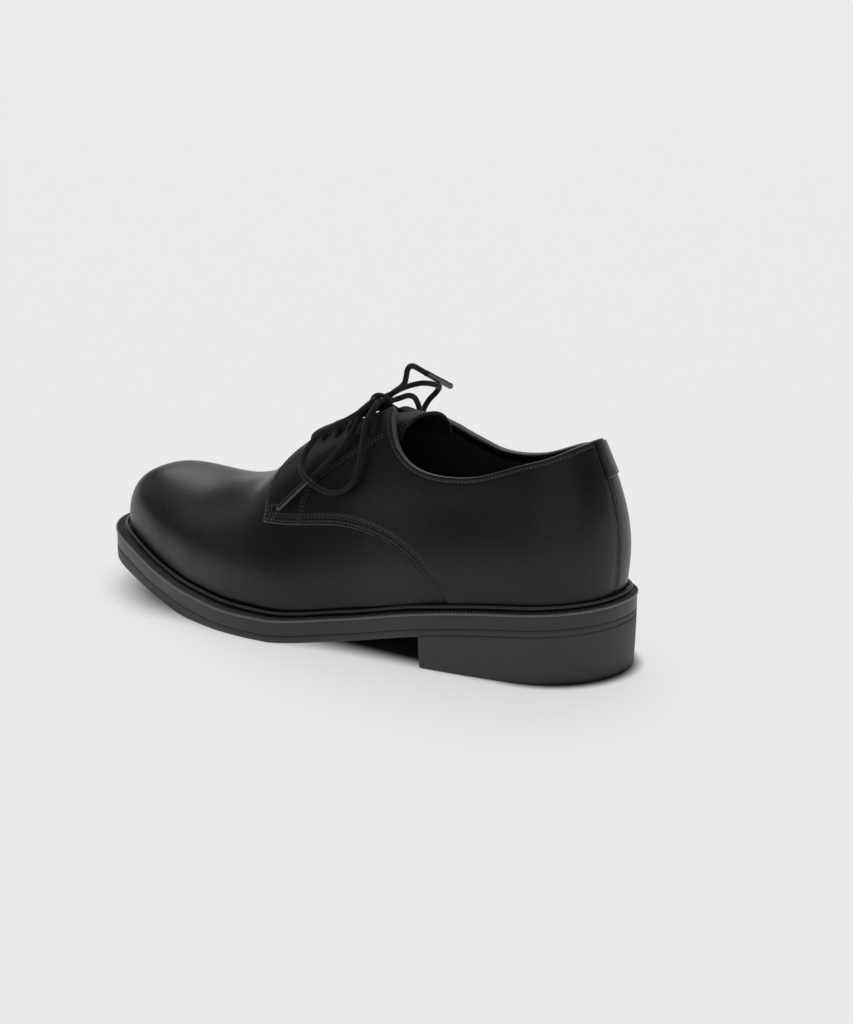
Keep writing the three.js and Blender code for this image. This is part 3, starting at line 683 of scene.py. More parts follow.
def spread(length, near_start, near_end, count):
    """Places from 0 to 1 along a length: close ones near both ends, even ones between."""
    start = np.array(near_start) / length
    end = 1 - np.array(near_end)[::-1] / length
    return np.concatenate([start, np.linspace(start[-1], end[0], count + 2)[1:-1], end])


# %% [markdown]
# ## Upper
#
# The upper is one hollow shell: the vamp, which shows from the toe back to the quarters, and
# the lining, which shows through the collar. It could be a solid with a cut, but a cut leaves
# ragged edges. Here the grid of each side simply ends where the collar or the throat begins.

# %% Upper
UPPER_COLUMNS, UPPER_ROWS = 230, 72
CORNER_STRETCH, CORNER_COLUMNS = (0.36, 0.41), 60
EDGE_DROP = 0.8 * MM
THROAT_END = 0.5695


def edge_inside(side, drop):
    """The collar and throat edge moved inwards over the last, as turn against run."""
    fine = np.linspace(0.004, float(run_at(0.568)), 1400)
    params = np.stack([fine, top_turn(fine, side)], axis=1)
    fade = np.clip((0.56 - share_at(fine)) / 0.02, 0, 1)
    moved = beside(params, side * drop * fade)
    run = np.maximum.accumulate(moved[:, 0])
    return lambda place: np.interp(place, run, moved[:, 1])


def upper_side(side):
    run = np.linspace(0, 1, UPPER_COLUMNS)
    run = np.sort(np.concatenate([run, run_at(np.linspace(*CORNER_STRETCH, CORNER_COLUMNS))]))
    share = share_at(run)
    open_part = share < THROAT_END
    inside = edge_inside(side, EDGE_DROP)(run)
    near_end = np.clip((share - 0.55) / 0.01, 0, 1)
    top = inside * (1 - near_end) + top_turn(run, side) * near_end
    foot = 0.0 if side > 0 else np.pi
    rows = np.linspace(0, 1, UPPER_ROWS) ** 0.9
    turn = foot + (top - foot)[:, None] * rows[None, :]
    return np.broadcast_to(run[:, None], turn.shape), turn, open_part


def add_upper():
    points, faces, kinds = [], [], []
    first = 0
    for side in (1, -1):
        run, turn, open_part = upper_side(side)
        rows, columns = run.shape
        normal = last_normals(run, turn)
        outside = last_points(run, turn)
        inside = outside - normal * SHELL
        for layer, kind in ((outside, 0), (inside, 1)):
            made = grid_faces(rows, columns, first)
            points.append(layer.reshape(-1, 3))
            faces.append(made)
            kinds.append(np.full(len(made), kind))
            first += rows * columns
        outer_first, inner_first = first - 2 * rows * columns, first - rows * columns
        i = np.arange(rows - 1)
        for column, kept in ((0, i), (columns - 1, i[open_part[:-1]])):
            a, b = kept * columns + column, (kept + 1) * columns + column
            corners = [a + outer_first, b + outer_first, b + inner_first, a + inner_first]
            faces.append(np.stack(corners, axis=1))
            kinds.append(np.ones(len(kept), int))
    return add_piece("upper_leather", np.concatenate(points), np.concatenate(faces),
                     [leather, lining], np.concatenate(kinds))


upper = add_upper()
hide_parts("upper")

# %% [markdown]
# ## Quarters
#
# The two quarters wrap the back of the foot and carry the eyelets. Each is a sheet of leather
# on top of the vamp, with a turned collar edge that covers the edge of the lining. Its four
# borders are known curves, and a Coons patch, the blend between four borders, fills it. Each
# column of the grid is then a closed loop: up the outside, over the edge and down behind.

# %% Borders of a quarter
FACING_END = 0.56
FRONT_CORNER = 0.579
FRONT_EASE = 0.4
FRONT_TUCK = 0.03
BORDER_POINTS = 300
COLLAR_COLUMNS, THROAT_COLUMNS, QUARTER_ROWS = 300, 120, 84
NEAR = np.array([0, 0.05, 0.12, 0.22, 0.36, 0.55, 0.8, 1.1, 1.5, 1.9, 2.3, 2.8, 3.4]) * MM


def top_border(side):
    fine = np.linspace(0, run_at(FACING_END), 1600)
    turn = top_turn(fine, side)
    collar = turn_under(fine, collar_up[side], side)
    corner = int(np.argmax(np.abs(turn - collar) > 1e-6))
    params = np.stack([fine, turn], axis=1)
    behind = resample(params[: corner + 1], np.linspace(0, 1, COLLAR_COLUMNS + 1))
    length = lengths_along(last_points(*params[corner:].T))[-1]
    before = resample(params[corner:], spread(length, [0], NEAR, THROAT_COLUMNS))
    return np.concatenate([behind, before[1:]]), COLLAR_COLUMNS


def front_border(side, start, end):
    """The facing's front edge, from the lower corner up to the end of the throat."""
    ridge = float(last_at["ridge"](FRONT_CORNER)) * BALL_WIDTH
    low_across = abs(float(last_points(*start)[0]) - ridge)
    high_across = float(throat_at(FACING_END)) * THROAT_GAP / 2
    across = np.linspace(low_across, high_across, BORDER_POINTS)
    share = smooth(QUARTER_FRONT, "share", "across")(across / BALL_WIDTH)
    share[0] = FRONT_CORNER
    fade = np.linspace(0, 1, BORDER_POINTS)
    tucked = FACING_END + (share - FACING_END) * (1 - fade) / FRONT_TUCK
    run = run_at(np.where(fade > 1 - FRONT_TUCK, tucked, share))
    border = np.stack([run, turn_across(run, side * across)], axis=1)
    border[0], border[-1] = start, end
    return border


def quarter_borders(side):
    """Top, lower edge, back seam and front edge, and the column where the throat begins."""
    top, corner = top_border(side)
    share = share_at(top[:, 0])
    ease = np.clip((share - FRONT_EASE) / (FACING_END - FRONT_EASE), 0, 1)
    run = run_at(share + (FRONT_CORNER - FACING_END) * (3 * ease**2 - 2 * ease**3))
    low = np.stack([run, turn_under(run, quarter_up, side)], axis=1)
    seam = np.stack([np.full(200, top[0, 0]), np.linspace(low[0, 1], top[0, 1], 200)], axis=1)
    even = np.linspace(0, 1, BORDER_POINTS)
    front = resample(front_border(side, low[-1], top[-1]), even)
    return top, low, resample(seam, even), front, corner


borders = {side: quarter_borders(side) for side in (1, -1)}
top_length = lengths_along(last_points(*borders[1][0].T))[-1]
print("collar and throat of the outer quarter in mm:", round(float(top_length) / MM, 1))


# %% Grid of a quarter
ARCH = 1.04


def coons(top, bottom, left, right, a, b):
    """Run and turn at places a along and b up the patch; b has a row for each column."""
    at = lambda border, place: read_along(border, np.linspace(0, 1, len(border)), place)
    a3, b3 = a[:, None, None], b[..., None]
    ruled = (1 - b3) * bottom[:, None, :] + b3 * top[:, None, :]
    sides = (1 - a3) * at(left, b) + a3 * at(right, b)
    corners = ((1 - a3) * (1 - b3) * bottom[0] + a3 * (1 - b3) * bottom[-1]
               + (1 - a3) * b3 * top[0] + a3 * b3 * top[-1])
    return ruled + sides - corners


def quarter_patch(top, bottom, left, right):
    a = lengths_along(last_points(*top.T))
    a = a / a[-1]
    heights = np.linalg.norm(last_points(*top.T) - last_points(*bottom.T), axis=-1) * ARCH
    b = np.stack([spread(h, NEAR, NEAR, QUARTER_ROWS) for h in heights])
    return coons(top, bottom, left, right, a, b)


patches = {side: quarter_patch(*borders[side][:4]) for side in (1, -1)}
print("points of a quarter's grid:", patches[1].shape[:2])

# %% [markdown]
# Seams are lines beside the borders. The thread pulls the leather in a little, so the same
# lines are used twice: for a shallow groove in the leather here, and for the stitches later.

# %% Seams of a quarter
STITCH_DIP = 0.24 * MM
DIP_WIDTH = 0.55 * MM
LOW_ROWS = (1.5 * MM, 3.5 * MM, 4.6 * MM)
LOW_ROWS_START = 0.236
TOP_ROW = 1.7 * MM
FRONT_ROW = 1.5 * MM
SEAM_ROW = 1.6 * MM
FACING_LINE = [(0.510, 0.500), (0.5116, 0.619), (0.5075, 0.763), (0.4857, 0.842), (0.4582, 0.894),
               (0.4225, 0.923), (0.392, 0.944)]
FACING_LINE_GAP = 1.5 * MM


def facing_line(side, offset=0.0):
    """The seam that holds the facing's lining: up from the lower edge and on to the collar."""
    share, turn = np.array(FACING_LINE).T
    length = lengths_along(last_points(run_at(share), turn))
    even = np.linspace(0, 1, 160) * length[-1]
    table = {"share": length, "place": share, "turn": turn}
    run, turn = run_at(smooth(table, "place")(even)), smooth(table, "turn")(even)
    params = np.stack([run, turn if side > 0 else np.pi - turn], axis=1)
    return beside(params, np.full(len(params), side * offset)) if offset else params


def seam_lines(side):
    top, bottom, left, right = [
        resample(line, np.linspace(0, 1, 500)) for line in borders[side][:4]]
    low = bottom[share_at(bottom[:, 0]) > LOW_ROWS_START]
    lines = [beside(top, np.full(len(top), side * TOP_ROW))[4:-6]]
    lines += [beside(low, np.full(len(low), -side * gap))[:-4] for gap in LOW_ROWS]
    lines.append(beside(right, np.full(len(right), -side * FRONT_ROW))[6:-10])
    lines.append(beside(left, np.full(len(left), side * SEAM_ROW))[8:-8])
    lines += [facing_line(side), facing_line(side, FACING_LINE_GAP)]
    return lines


def distance_to(points, line):
    """Distance from every point of a grid to a line, measured to its nearest stretch."""
    start, along = line[:-1], np.diff(line, axis=0)
    square = np.maximum((along**2).sum(-1), 1e-18)
    rows = []
    for row in points:
        offset = row[:, None] - start[None]
        place = np.clip((offset * along).sum(-1) / square, 0, 1)
        rows.append(np.linalg.norm(offset - place[..., None] * along, axis=-1).min(axis=1))
    return np.stack(rows)


seams = {side: seam_lines(side) for side in (1, -1)}
print("rows of stitches on a quarter:", len(seams[1]))

# %% [markdown]
# A cut edge isn't sharp: the face of the leather sinks along a quarter of a circle towards each
# edge. At the collar the leather is folded over the lining, so there its rim is a half circle
# that goes on as a short flap inside. A bevel modifier would round every border alike.

# %% Face and rim of a quarter
ROLL = 0.7 * MM
THIN_EDGE = 0.2
UNDERSIDE = 0.05 * MM
QUARTER_OUT = FIT + QUARTER_LEATHER
COLLAR_INSIDE = SHELL + 0.35 * MM
COLLAR_RISE = 0.8 * MM
PLAIN_RISE = 0.45 * MM / 2
FLAP = 3 * MM


def quarter_face(base, normal, away, wrap, lines):
    """The outside: rolled at its cut edges, pulled in at the back seam and under each row."""
    edge = np.minimum(away["front"], away["top"] + wrap[:, None] * ROLL)
    roll = np.maximum(rounded(np.minimum(edge, away["low"]), ROLL), THIN_EDGE)
    crease = rounded(away["seam"] + 0.1 * MM, 0.5 * MM)
    height = UNDERSIDE + (QUARTER_OUT - UNDERSIDE) * roll * (0.35 + 0.65 * crease)
    rows = [distance_to(base, last_points(*line.T)) for line in lines]
    dip = sum(np.exp(-((row / DIP_WIDTH) ** 2)) for row in rows)
    rim_height = UNDERSIDE + (QUARTER_OUT - UNDERSIDE) * roll[:, -1]
    return base + normal * (height - dip * STITCH_DIP)[..., None], rim_height


def collar_rim(side, base, normal, rim_height, wrap):
    """Rows over the top edge: half a circle and, where wrap is 1, a flap behind it."""
    edge, up = base[:, -1], normal[:, -1]
    under = UNDERSIDE - wrap * (COLLAR_INSIDE + UNDERSIDE)
    outward = -side * unit(np.cross(up, np.gradient(edge, axis=0)))
    middle, half = (rim_height + under) / 2, (rim_height - under) / 2
    rise = PLAIN_RISE + wrap * (COLLAR_RISE - PLAIN_RISE)
    rows = []
    for angle in np.linspace(0, np.pi, 12)[1:]:
        out = middle + half * np.cos(angle)
        rows.append(edge + up * out[:, None] + outward * (rise * np.sin(angle))[:, None])
    flap = edge - outward * (FLAP * wrap)[:, None]
    tuck = UNDERSIDE * (1 - wrap) - wrap * 0.6 * MM
    rows += [flap + up * under[:, None], flap + up * (under * 0.8)[:, None],
             edge - outward * (0.5 * MM) + up * tuck[:, None]]
    return np.stack(rows, axis=1)


print("leather stands over the vamp in mm:", round(QUARTER_OUT / MM, 2))

# %% Quarters
COLLAR_WRAP = 2 * MM
FOOT_END = 0.226
CUT_EDGE = 0.2 * MM
FRONT_EDGE = 0.75 * MM
RIM_ROWS = 6


def edge_kinds(shape, rows, away):
    """Paler leather along the lower edge and on the rim, and a paler one still along the front:
    partly bare leather, partly painted highlight.
    """
    kinds = np.zeros(shape, int)
    kinds[:, :rows] = away["low"] < CUT_EDGE
    kinds[:, :rows][away["front"] < FRONT_EDGE] = 2
    # On the collar rim the paler edge leather is partly a painted highlight.
    kinds[:, rows + 1: rows + 1 + RIM_ROWS] = 1
    return kinds


def add_quarter(side, name):
    run, turn = patches[side][..., 0], patches[side][..., 1]
    base, normal = last_points(run, turn), last_normals(run, turn)
    top, low, seam, front, corner = borders[side]
    shown_low = low[share_at(low[:, 0]) >= FOOT_END]
    edges = {"top": top, "low": shown_low, "seam": seam, "front": front}
    away = {edge: distance_to(base, last_points(*line.T)) for edge, line in edges.items()}
    past = lengths_along(base[:, -1])
    wrap = np.clip((past[corner] - past) / COLLAR_WRAP, 0, 1)
    outer, rim_height = quarter_face(base, normal, away, wrap, seams[side])
    rim = collar_rim(side, base, normal, rim_height, wrap)
    back_rows = np.unique(np.linspace(0, base.shape[1] - 1, 24).astype(int))[::-1]
    inner = base[:, back_rows] + normal[:, back_rows] * UNDERSIDE
    loops = np.concatenate([outer, rim, inner[:, 1:]], axis=1)
    kinds = edge_kinds(loops.shape[:2], base.shape[1], away)
    return loft(name, loops, [leather, cut_edge_highlight_leather, front_edge_highlight_leather], kinds_of=kinds)


for side, name, node in ((1, "quarter_outer_leather", "quarter_outer"),
                         (-1, "quarter_inner_leather", "quarter_inner")):
    piece = add_quarter(side, name)
    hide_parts(node)

# %% [markdown]
# ## Sole
#
# The sole's edge is one profile carried around the outline: the wheeled welt with its small
# ribs, the lip with a groove below it, and the wall. A curve with a bevel profile would do for
# a plain edge, but rings in small even steps leave enough points to raise the ribs as relief.

# %% Rings around the sole
BEAD = 1.9 * MM
RAND_GAP = 0.75 * MM


def around(count):
    """Steps and sides around the outline, even along its length."""
    step = close_at_ends(np.linspace(0, 1, 2400))
    _, centre, half, y = outline(step, steady(0.0))
    rings = []
    for side in (1, -1):
        points = np.stack([centre + side * half, y], axis=1)
        length = lengths_along(points)
        places = np.linspace(0, length[-1], count // 2 + 1)
        rings.append((np.interp(places, length, step), side, length[-1]))
    steps = np.concatenate([rings[0][0], rings[1][0][::-1][1:-1]])
    sides = np.concatenate([np.ones(len(rings[0][0])), -np.ones(len(rings[1][0]) - 2)])
    return steps, sides, rings[0][2] + rings[1][2]


def rings_of(profile, steps, sides):
    """A loop of points at each step; the profile gives insets and heights along the sole."""
    loops = []
    for inset, height in profile:
        share, centre, half, y = outline(steps, inset)
        loops.append(np.stack([centre + sides * half, y, height(share)], axis=1))
    return np.stack(loops, axis=1)


def steady(value):
    return lambda share: np.zeros_like(np.asarray(share, float)) + value


def over_lip(value):
    return lambda share: lip_height(share) + value


def rand_line(share):
    """Inset of the rand's middle; behind, it steps out around the quarters."""
    quarter_step = RAND_GAP + (FIT + QUARTER_LEATHER) * np.clip((0.3 - share) / 0.05, 0, 1)
    return ledge(share) - BEAD / 2 - quarter_step


print("length around the sole in mm:", round(float(around(700)[2]) / MM))


# %% Welt and midsole
WELT_COLUMNS = 3500
RIB_PITCH = 1.8 * MM
RIB_DEPTHS = {4: 0.45 * MM, 5: 0.8 * MM, 6: 0.8 * MM, 7: 0.5 * MM}
RIB_TOPS = 0.42
STRIP_LINES, RIB_LINES, LIP_HIGHLIGHT_LINES = slice(1, 9), slice(4, 7), slice(9, 13)
WELT_TOP = [(0.88, 0.3), (0.84, 1.0), (0.78, 1.3), (0.52, 1.0), (0.24, 0.5), (0.17, 0.0)]
LIP_AND_WALL = [
    (0.42, 0.26), (0.12, 0.08), (0, -0.25), (0.05, -0.85), (0.3, -1.0), (0.62, -1.2),
    (0.62, -1.45), (0.5, -2.1), (0.5, -4.2), (0.5, -6.3), (0.5, -7.3), (0.62, -7.42),
]


def between_rings(part):
    """Inset of a line on the welt, from 0 at the lip to 1 at the rand."""
    return lambda share: part * (rand_line(share) - BEAD / 2)


def under_upper(share):
    return ledge(share) + 4 * MM


def add_welt():
    steps, sides, length = around(WELT_COLUMNS)
    profile = [
        (under_upper, over_lip(SEAT - FIT)),
        (lambda share: rand_line(share) + 0.2 * BEAD, over_lip(SEAT - FIT)),
        (lambda share: rand_line(share) - 0.5 * BEAD, over_lip(SEAT - 0.7 * MM)),
        *[(between_rings(part), over_lip(height * MM)) for part, height in WELT_TOP],
        (lambda share: between_rings(0.1)(share) + 0.1 * MM, over_lip(0.22 * MM)),
        *[(steady(inset * MM), over_lip(height * MM)) for inset, height in LIP_AND_WALL],
        (under_upper, over_lip(LIP_AND_WALL[-1][1] * MM)),
    ]
    loops = rings_of(profile, steps, sides)
    place = np.arange(len(steps)) / len(steps) * length
    beats = round(length / RIB_PITCH)
    rib = 0.5 + 0.5 * np.cos(2 * np.pi * place / length * beats)
    for line, depth in RIB_DEPTHS.items():
        loops[:, line, 2] -= rib * depth
    kinds = np.zeros(loops.shape[:2], int)
    kinds[:, STRIP_LINES] = 1
    # Painted shade: the rib grooves take the dark strip rubber, the rib tops keep the welt rubber.
    kinds[:, RIB_LINES] = (rib > RIB_TOPS)[:, None]
    # Painted highlight: the lip takes the pale rubber.
    kinds[:, LIP_HIGHLIGHT_LINES] = 2
    rubbers = [welt_rubber, strip_and_groove_shade_rubber, lip_highlight_rubber]
    return loft("welt_and_wall", loops, rubbers, closed=True, kinds_of=kinds)


welt = add_welt()
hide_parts("midsole_welt")

# %% [markdown]
# The rand is a round bead of rubber that covers the joint between welt and upper. It uses the
# same rings with a circle as its profile, so that it stays beside the upper all the way round.

# %% Rand
RAND_SECTIONS = 12


def add_rand():
    steps, sides, _ = around(700)
    profile = []
    for k in range(RAND_SECTIONS):
        angle = 2 * np.pi * k / RAND_SECTIONS
        out = BEAD / 2 * math.cos(angle)
        height = SEAT + BEAD / 2 + BEAD / 2 * math.sin(angle)
        profile.append((lambda share, out=out: rand_line(share) - out, over_lip(height)))
    return loft("rand_bead", rings_of(profile, steps, sides), [welt_rubber], closed=True)


rand = add_rand()
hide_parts("rand")

# %% [markdown]
# The outsole is a thin plate that follows the foot's rise: flat under the ball, lifted at the
# toe and under the waist. Rings would need a cap above and below, so here each loop of points
# runs across the sole instead: down one edge, under the plate, up the other edge and back.

# %% Outsole
def across_sole(outer, inner, columns):
    """Joins the profiles of both edges to closed loops across the sole."""
    part = np.linspace(0, 1, columns + 2)[1:-1][None, :, None]
    under = outer[:, -1:] * (1 - part) + inner[:, -1:] * part
    over = inner[:, :1] * (1 - part) + outer[:, :1] * part
    return np.concatenate([outer, under, inner[:, ::-1], over], axis=1)


def plate(profile, count):
    steps = close_at_ends(np.linspace(0, 1, count))
    outer = rings_of(profile, steps, np.ones(count))
    inner = rings_of(profile, steps, -np.ones(count))
    return across_sole(outer, inner, 14)


def over_seam(value):
    return lambda share: seam_height(share) + value


def over_ground(value):
    return lambda share: floor_gap(share) + value


def add_outsole():
    waist = lambda share: floor_gap(share) + 0.6 * (seam_height(share) - floor_gap(share))
    profile = [
        (steady(1.3 * MM), over_seam(0.2 * MM)),
        (steady(0.62 * MM), over_seam(0.18 * MM)),
        (steady(0.5 * MM), over_seam(0.06 * MM)),
        (steady(0.5 * MM), waist),
        (steady(0.6 * MM), over_ground(1.0 * MM)),
        (steady(0.8 * MM), over_ground(0.5 * MM)),
        (steady(1.6 * MM), over_ground(0.03 * MM)),
        (steady(2.4 * MM), over_ground(0.0)),
    ]
    return loft("outsole_rubber", plate(profile, 420), [sole_rubber])


outsole = add_outsole()
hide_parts("outsole")

# %% [markdown]
# The heel is a low block with a slight taper and a bevelled foot. Its breast stands upright,
# and the mould rounds the two corners there. It is swept across like the outsole, and ends
# where its length does instead of at the toe.

# %% Heel
HEEL_CORNER = 2.2 * MM
HEEL_COLUMNS = 150


def add_heel():
    part = 1 - np.cos(np.pi / 2 * np.linspace(0, 1, HEEL_COLUMNS))
    corner = rounded((1 - part) * HEEL_LENGTH, HEEL_CORNER)
    profile = [
        (1.3 * MM, over_ground(1.0 * MM)),
        (0.56 * MM, over_ground(0.9 * MM)),
        (0.56 * MM, over_ground(-0.3 * MM)),
        (0.95 * MM, lambda share: 0.5 * floor_gap(share)),
        (1.35 * MM, steady(2.6 * MM)),
        (1.45 * MM, steady(1.5 * MM)),
        (1.7 * MM, steady(0.8 * MM)),
        (2.1 * MM, steady(0.25 * MM)),
        (2.8 * MM, steady(0.0)),
    ]
    outer, inner = [], []
    for inset, height in profile:
        steps = part * (HEEL_LENGTH - inset) / (SOLE_LENGTH - 2 * inset)
        share, centre, half, y = outline(steps, steady(inset))
        half = half - HEEL_CORNER * (1 - corner)
        outer.append(np.stack([centre + half, y, height(share)], axis=1))
        inner.append(np.stack([centre - half, y, height(share)], axis=1))
    loops = across_sole(np.stack(outer, axis=1), np.stack(inner, axis=1), 10)
    return loft("heel_rubber", loops, [sole_rubber])


heel = add_heel()
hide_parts("heel")

# %% [markdown]
# The sock lining is what the foot stands on. Only a little of it shows through the collar, so
# its edge simply follows the sole's outline, moved in by the ledge and the upper's shell.

# %% Insole
def add_insole():
    edge = lambda share: ledge(share) + SHELL + 0.4 * MM
    inner_edge = lambda share: ledge(share) + SHELL + 3 * MM
    profile = [
        (inner_edge, lambda share: feather_height(share) + 3.0 * MM),
        (edge, lambda share: feather_height(share) + 3.6 * MM),
        (edge, lambda share: feather_height(share) + 0.2 * MM),
    ]
    return loft("sock_lining", plate(profile, 160), [lining])


insole = add_insole()
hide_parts("insole")

# %% [markdown]
# ## Tongue
#
# The tongue runs under the facings and comes out above the collar, where its free end arches
# over the instep. It is a curved strip with a turned hem. A cloth simulation could bend it, but
# leather this thick keeps the arch that the facings give it, so a table of drops is enough.

# %% Tongue
TONGUE = {
    "share": [0.352, 0.37, 0.4, 0.43, 0.47, 0.54, 0.6],
    "drop": [0.094, 0.083, 0.053, 0.02, 0.0, 0.0, 0.0],
    "reach": [1.0, 0.98, 0.93, 0.87, 0.78, 0.66, 0.6],
    "curl": [1.0, 0.85, 0.5, 0.18, 0.0, 0.0, 0.0],
}
TONGUE_WIDTH = 42 * MM
TONGUE_LEATHER = 2 * MM
TONGUE_PLAY = 0.9 * MM
TONGUE_HEM = 3 * MM
TONGUE_SKEW = (0.6, 0.2)
TONGUE_GRID = (90, 60)


def tongue_sheet():
    """Points of its top side from the free end down, and the directions across the leather."""
    share = np.linspace(TONGUE["share"][0], TONGUE["share"][-1], TONGUE_GRID[0])
    run = run_at(share)
    end = float(turn_across(run[0], TONGUE_WIDTH / 2))
    reach = (np.pi / 2 - end) * smooth(TONGUE, "reach")(share)
    part = np.linspace(-1, 1, TONGUE_GRID[1])
    turn = np.pi / 2 + reach[:, None] * part[None, :]
    wide_run = np.broadcast_to(run[:, None], turn.shape)
    normal = last_normals(wide_run, turn)
    points = last_points(wide_run, turn) - normal * (SHELL + TONGUE_PLAY)
    drop = smooth(TONGUE, "drop")(share)[:, None] * INSTEP_HEIGHT
    points[..., 2] -= drop * (1 - 0.8 * part[None, :] ** 2)
    bend, radius = part[None, :] * np.pi / 2, TONGUE_WIDTH / np.pi
    crest = last_points(run, np.pi / 2)[:, None] - [0, 0, SHELL + TONGUE_PLAY]
    curled = np.stack([crest[..., 0] - radius * np.sin(bend), crest[..., 1] + 0 * bend,
                       crest[..., 2] - drop - radius * (1 - np.cos(bend))], axis=-1)
    curl = np.maximum(smooth(TONGUE, "curl")(share), 0)[:, None, None]
    off = curled[..., 0] - crest[..., 0]
    curled[..., 1] -= np.where(off > 0, TONGUE_SKEW[0], TONGUE_SKEW[1]) * off
    points = points * (1 - curl) + curled * curl
    return points, unit(np.cross(np.gradient(points, axis=1), np.gradient(points, axis=0)))


def add_tongue():
    """Gives the piece, and the line and directions of the seam along its hem."""
    points, normal = tongue_sheet()
    along = lengths_along(points)
    across = lengths_along(points.transpose(1, 0, 2)).T
    edge = np.minimum(along, np.minimum(across, across[:, -1:] - across))
    roll = rounded(edge, 1.0 * MM)
    groove = np.exp(-(((along - TONGUE_HEM) / (0.6 * MM)) ** 2)) * 0.4 * MM
    roll = roll * np.where(along < TONGUE_HEM, 1.12, 1.0)
    middle = points - normal * (TONGUE_LEATHER / 2)
    half = (TONGUE_LEATHER / 2 * roll)[..., None]
    top = middle + normal * (half - groove[..., None])
    low = middle - normal * half
    loops = np.concatenate([top, low[:, ::-1]], axis=1)
    piece = loft("tongue_leather", loops, [soft_leather])
    row = int(np.argmax(along[:, TONGUE_GRID[1] // 2] > TONGUE_HEM))
    return piece, (top[row, 2:-2] + normal[row, 2:-2] * 0.1 * MM, normal[row, 2:-2])


tongue, tongue_hem = add_tongue()
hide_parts("tongue")

# %% [markdown]
# ## Laces
#
# A round lace is a braid: strands cross each other in a diamond pattern. The tube is swept
# along the same points that the solids follow, and its radius swells where strands cross. A
# bevelled curve would be quicker, but it would be as smooth as a wire.

# %% Braided lace
BRAID_PITCH = 4.4 * MM
BRAID_STRANDS = 4
LACE_SIDES = 24
PULLED_THIN = 0.9


def smooth_route(points, spacing):
    """A centripetal curve through given points, sampled at even steps."""
    knots = np.array(points, float)
    ends = [2 * knots[0] - knots[1], *knots, 2 * knots[-1] - knots[-2]]
    padded = np.array(ends)
    gaps = np.sqrt(np.linalg.norm(np.diff(padded, axis=0), axis=1))
    time = np.concatenate([[0], np.cumsum(gaps)])
    fine = []
    for k in range(1, len(padded) - 2):
        t = np.linspace(time[k], time[k + 1], 24, endpoint=False)[:, None]
        p, s = padded[k - 1: k + 3], time[k - 1: k + 3]
        mix = lambda a, b, n, m: (s[m] - t) / (s[m] - s[n]) * a + (t - s[n]) / (s[m] - s[n]) * b
        first = [mix(p[n], p[n + 1], n, n + 1) for n in range(3)]
        second = [mix(first[n], first[n + 1], n, n + 2) for n in range(2)]
        fine.append(mix(second[0], second[1], 1, 2))
    fine = np.concatenate([*fine, knots[-1:]])
    length = lengths_along(fine)
    count = max(int(length[-1] / spacing), 8)
    return read_along(fine, length, np.linspace(0, length[-1], count + 1)), length[-1]


def carried_frames(route):
    """Two directions across the route that turn as little as they can along it."""
    tangent = unit(np.gradient(route, axis=0))
    side = np.zeros_like(route)
    start = np.cross(tangent[0], [0.0, 0.0, 1.0])
    side[0] = unit(start if np.linalg.norm(start) > 0.1 else np.cross(tangent[0], [0.0, 1.0, 0.0]))
    for k in range(1, len(route)):
        side[k] = unit(side[k - 1] - tangent[k] * np.dot(side[k - 1], tangent[k]))
    return side, np.cross(tangent, side)


def lace_tube(name, points, diameter=LACE, braided=True, material=None, ends=(1.0, 1.0)):
    """A tube along a route; ends says how far each end is rounded, from 0 to 1."""
    spacing = 0.32 * MM if braided else 0.8 * MM
    route, length = smooth_route(points, spacing)
    side, over = carried_frames(route)
    along = lengths_along(route)[:, None]
    angle = np.linspace(0, 2 * np.pi, LACE_SIDES, endpoint=False)[None, :]
    radius = np.full((len(route), LACE_SIDES), PULLED_THIN * diameter / 2)
    if braided:
        twist = 2 * np.pi * along / BRAID_PITCH
        turns = BRAID_STRANDS * angle
        weave = np.cos(turns + 2 * twist) * np.cos(turns - 2 * twist)
        radius = radius * (0.985 + 0.05 * weave)
    for k, part in ((0, ends[0]), (1, ends[1])):
        reach = along if k == 0 else along[-1] - along
        radius = radius * (part * rounded(reach, 0.5 * diameter) + 1 - part)
    ring = side[:, None] * np.cos(angle)[..., None] + over[:, None] * np.sin(angle)[..., None]
    loops = route[:, None] + ring * radius[..., None]
    piece = loft(name, loops, [material or cotton])
    return piece, route, length


print("thickness of the drawn lace in mm:", round(PULLED_THIN * LACE / MM, 2))

# %% [markdown]
# A bow can't be worked out, it is observed: each route is a list of points in millimetres,
# chosen from what the photograph shows. A simulated lace would fall another way.

# %% Routes of the bow
OUTER_LOOP = [
    [10, -97.6, 110.6], [15.2, -97.6, 109], [18.6, -98.8, 106.9], [21.2, -105.8, 102.2],
    [22.8, -112.2, 98.3], [24.2, -116.6, 95.9], [26.4, -119.6, 92], [29.4, -121.6, 86.8],
    [33.6, -120.6, 82.6], [38.2, -116.8, 79.4], [40.2, -110.6, 76.4], [38.8, -102.4, 72.8],
    [37, -94.8, 73.8], [35.6, -89.8, 78], [32.6, -88.2, 86], [28.6, -89, 94.4],
    [24.2, -90.6, 102.8], [17, -91.4, 109.4], [10.6, -92.6, 112],
]
OUTER_END = [
    [8.8, -99.2, 107.4], [13.6, -99.6, 106.2], [19.6, -99.2, 101.4], [25.5, -101.1, 93.9],
    [30.3, -106.6, 85.6], [34.2, -111.8, 78.9], [35.6, -114.4, 76.2],
]
OUTER_AGLET = [[35.9, -114.9, 75.7], [38.4, -118.2, 71.9], [41.2, -122.2, 67.1], [44.6, -127, 61.2]]
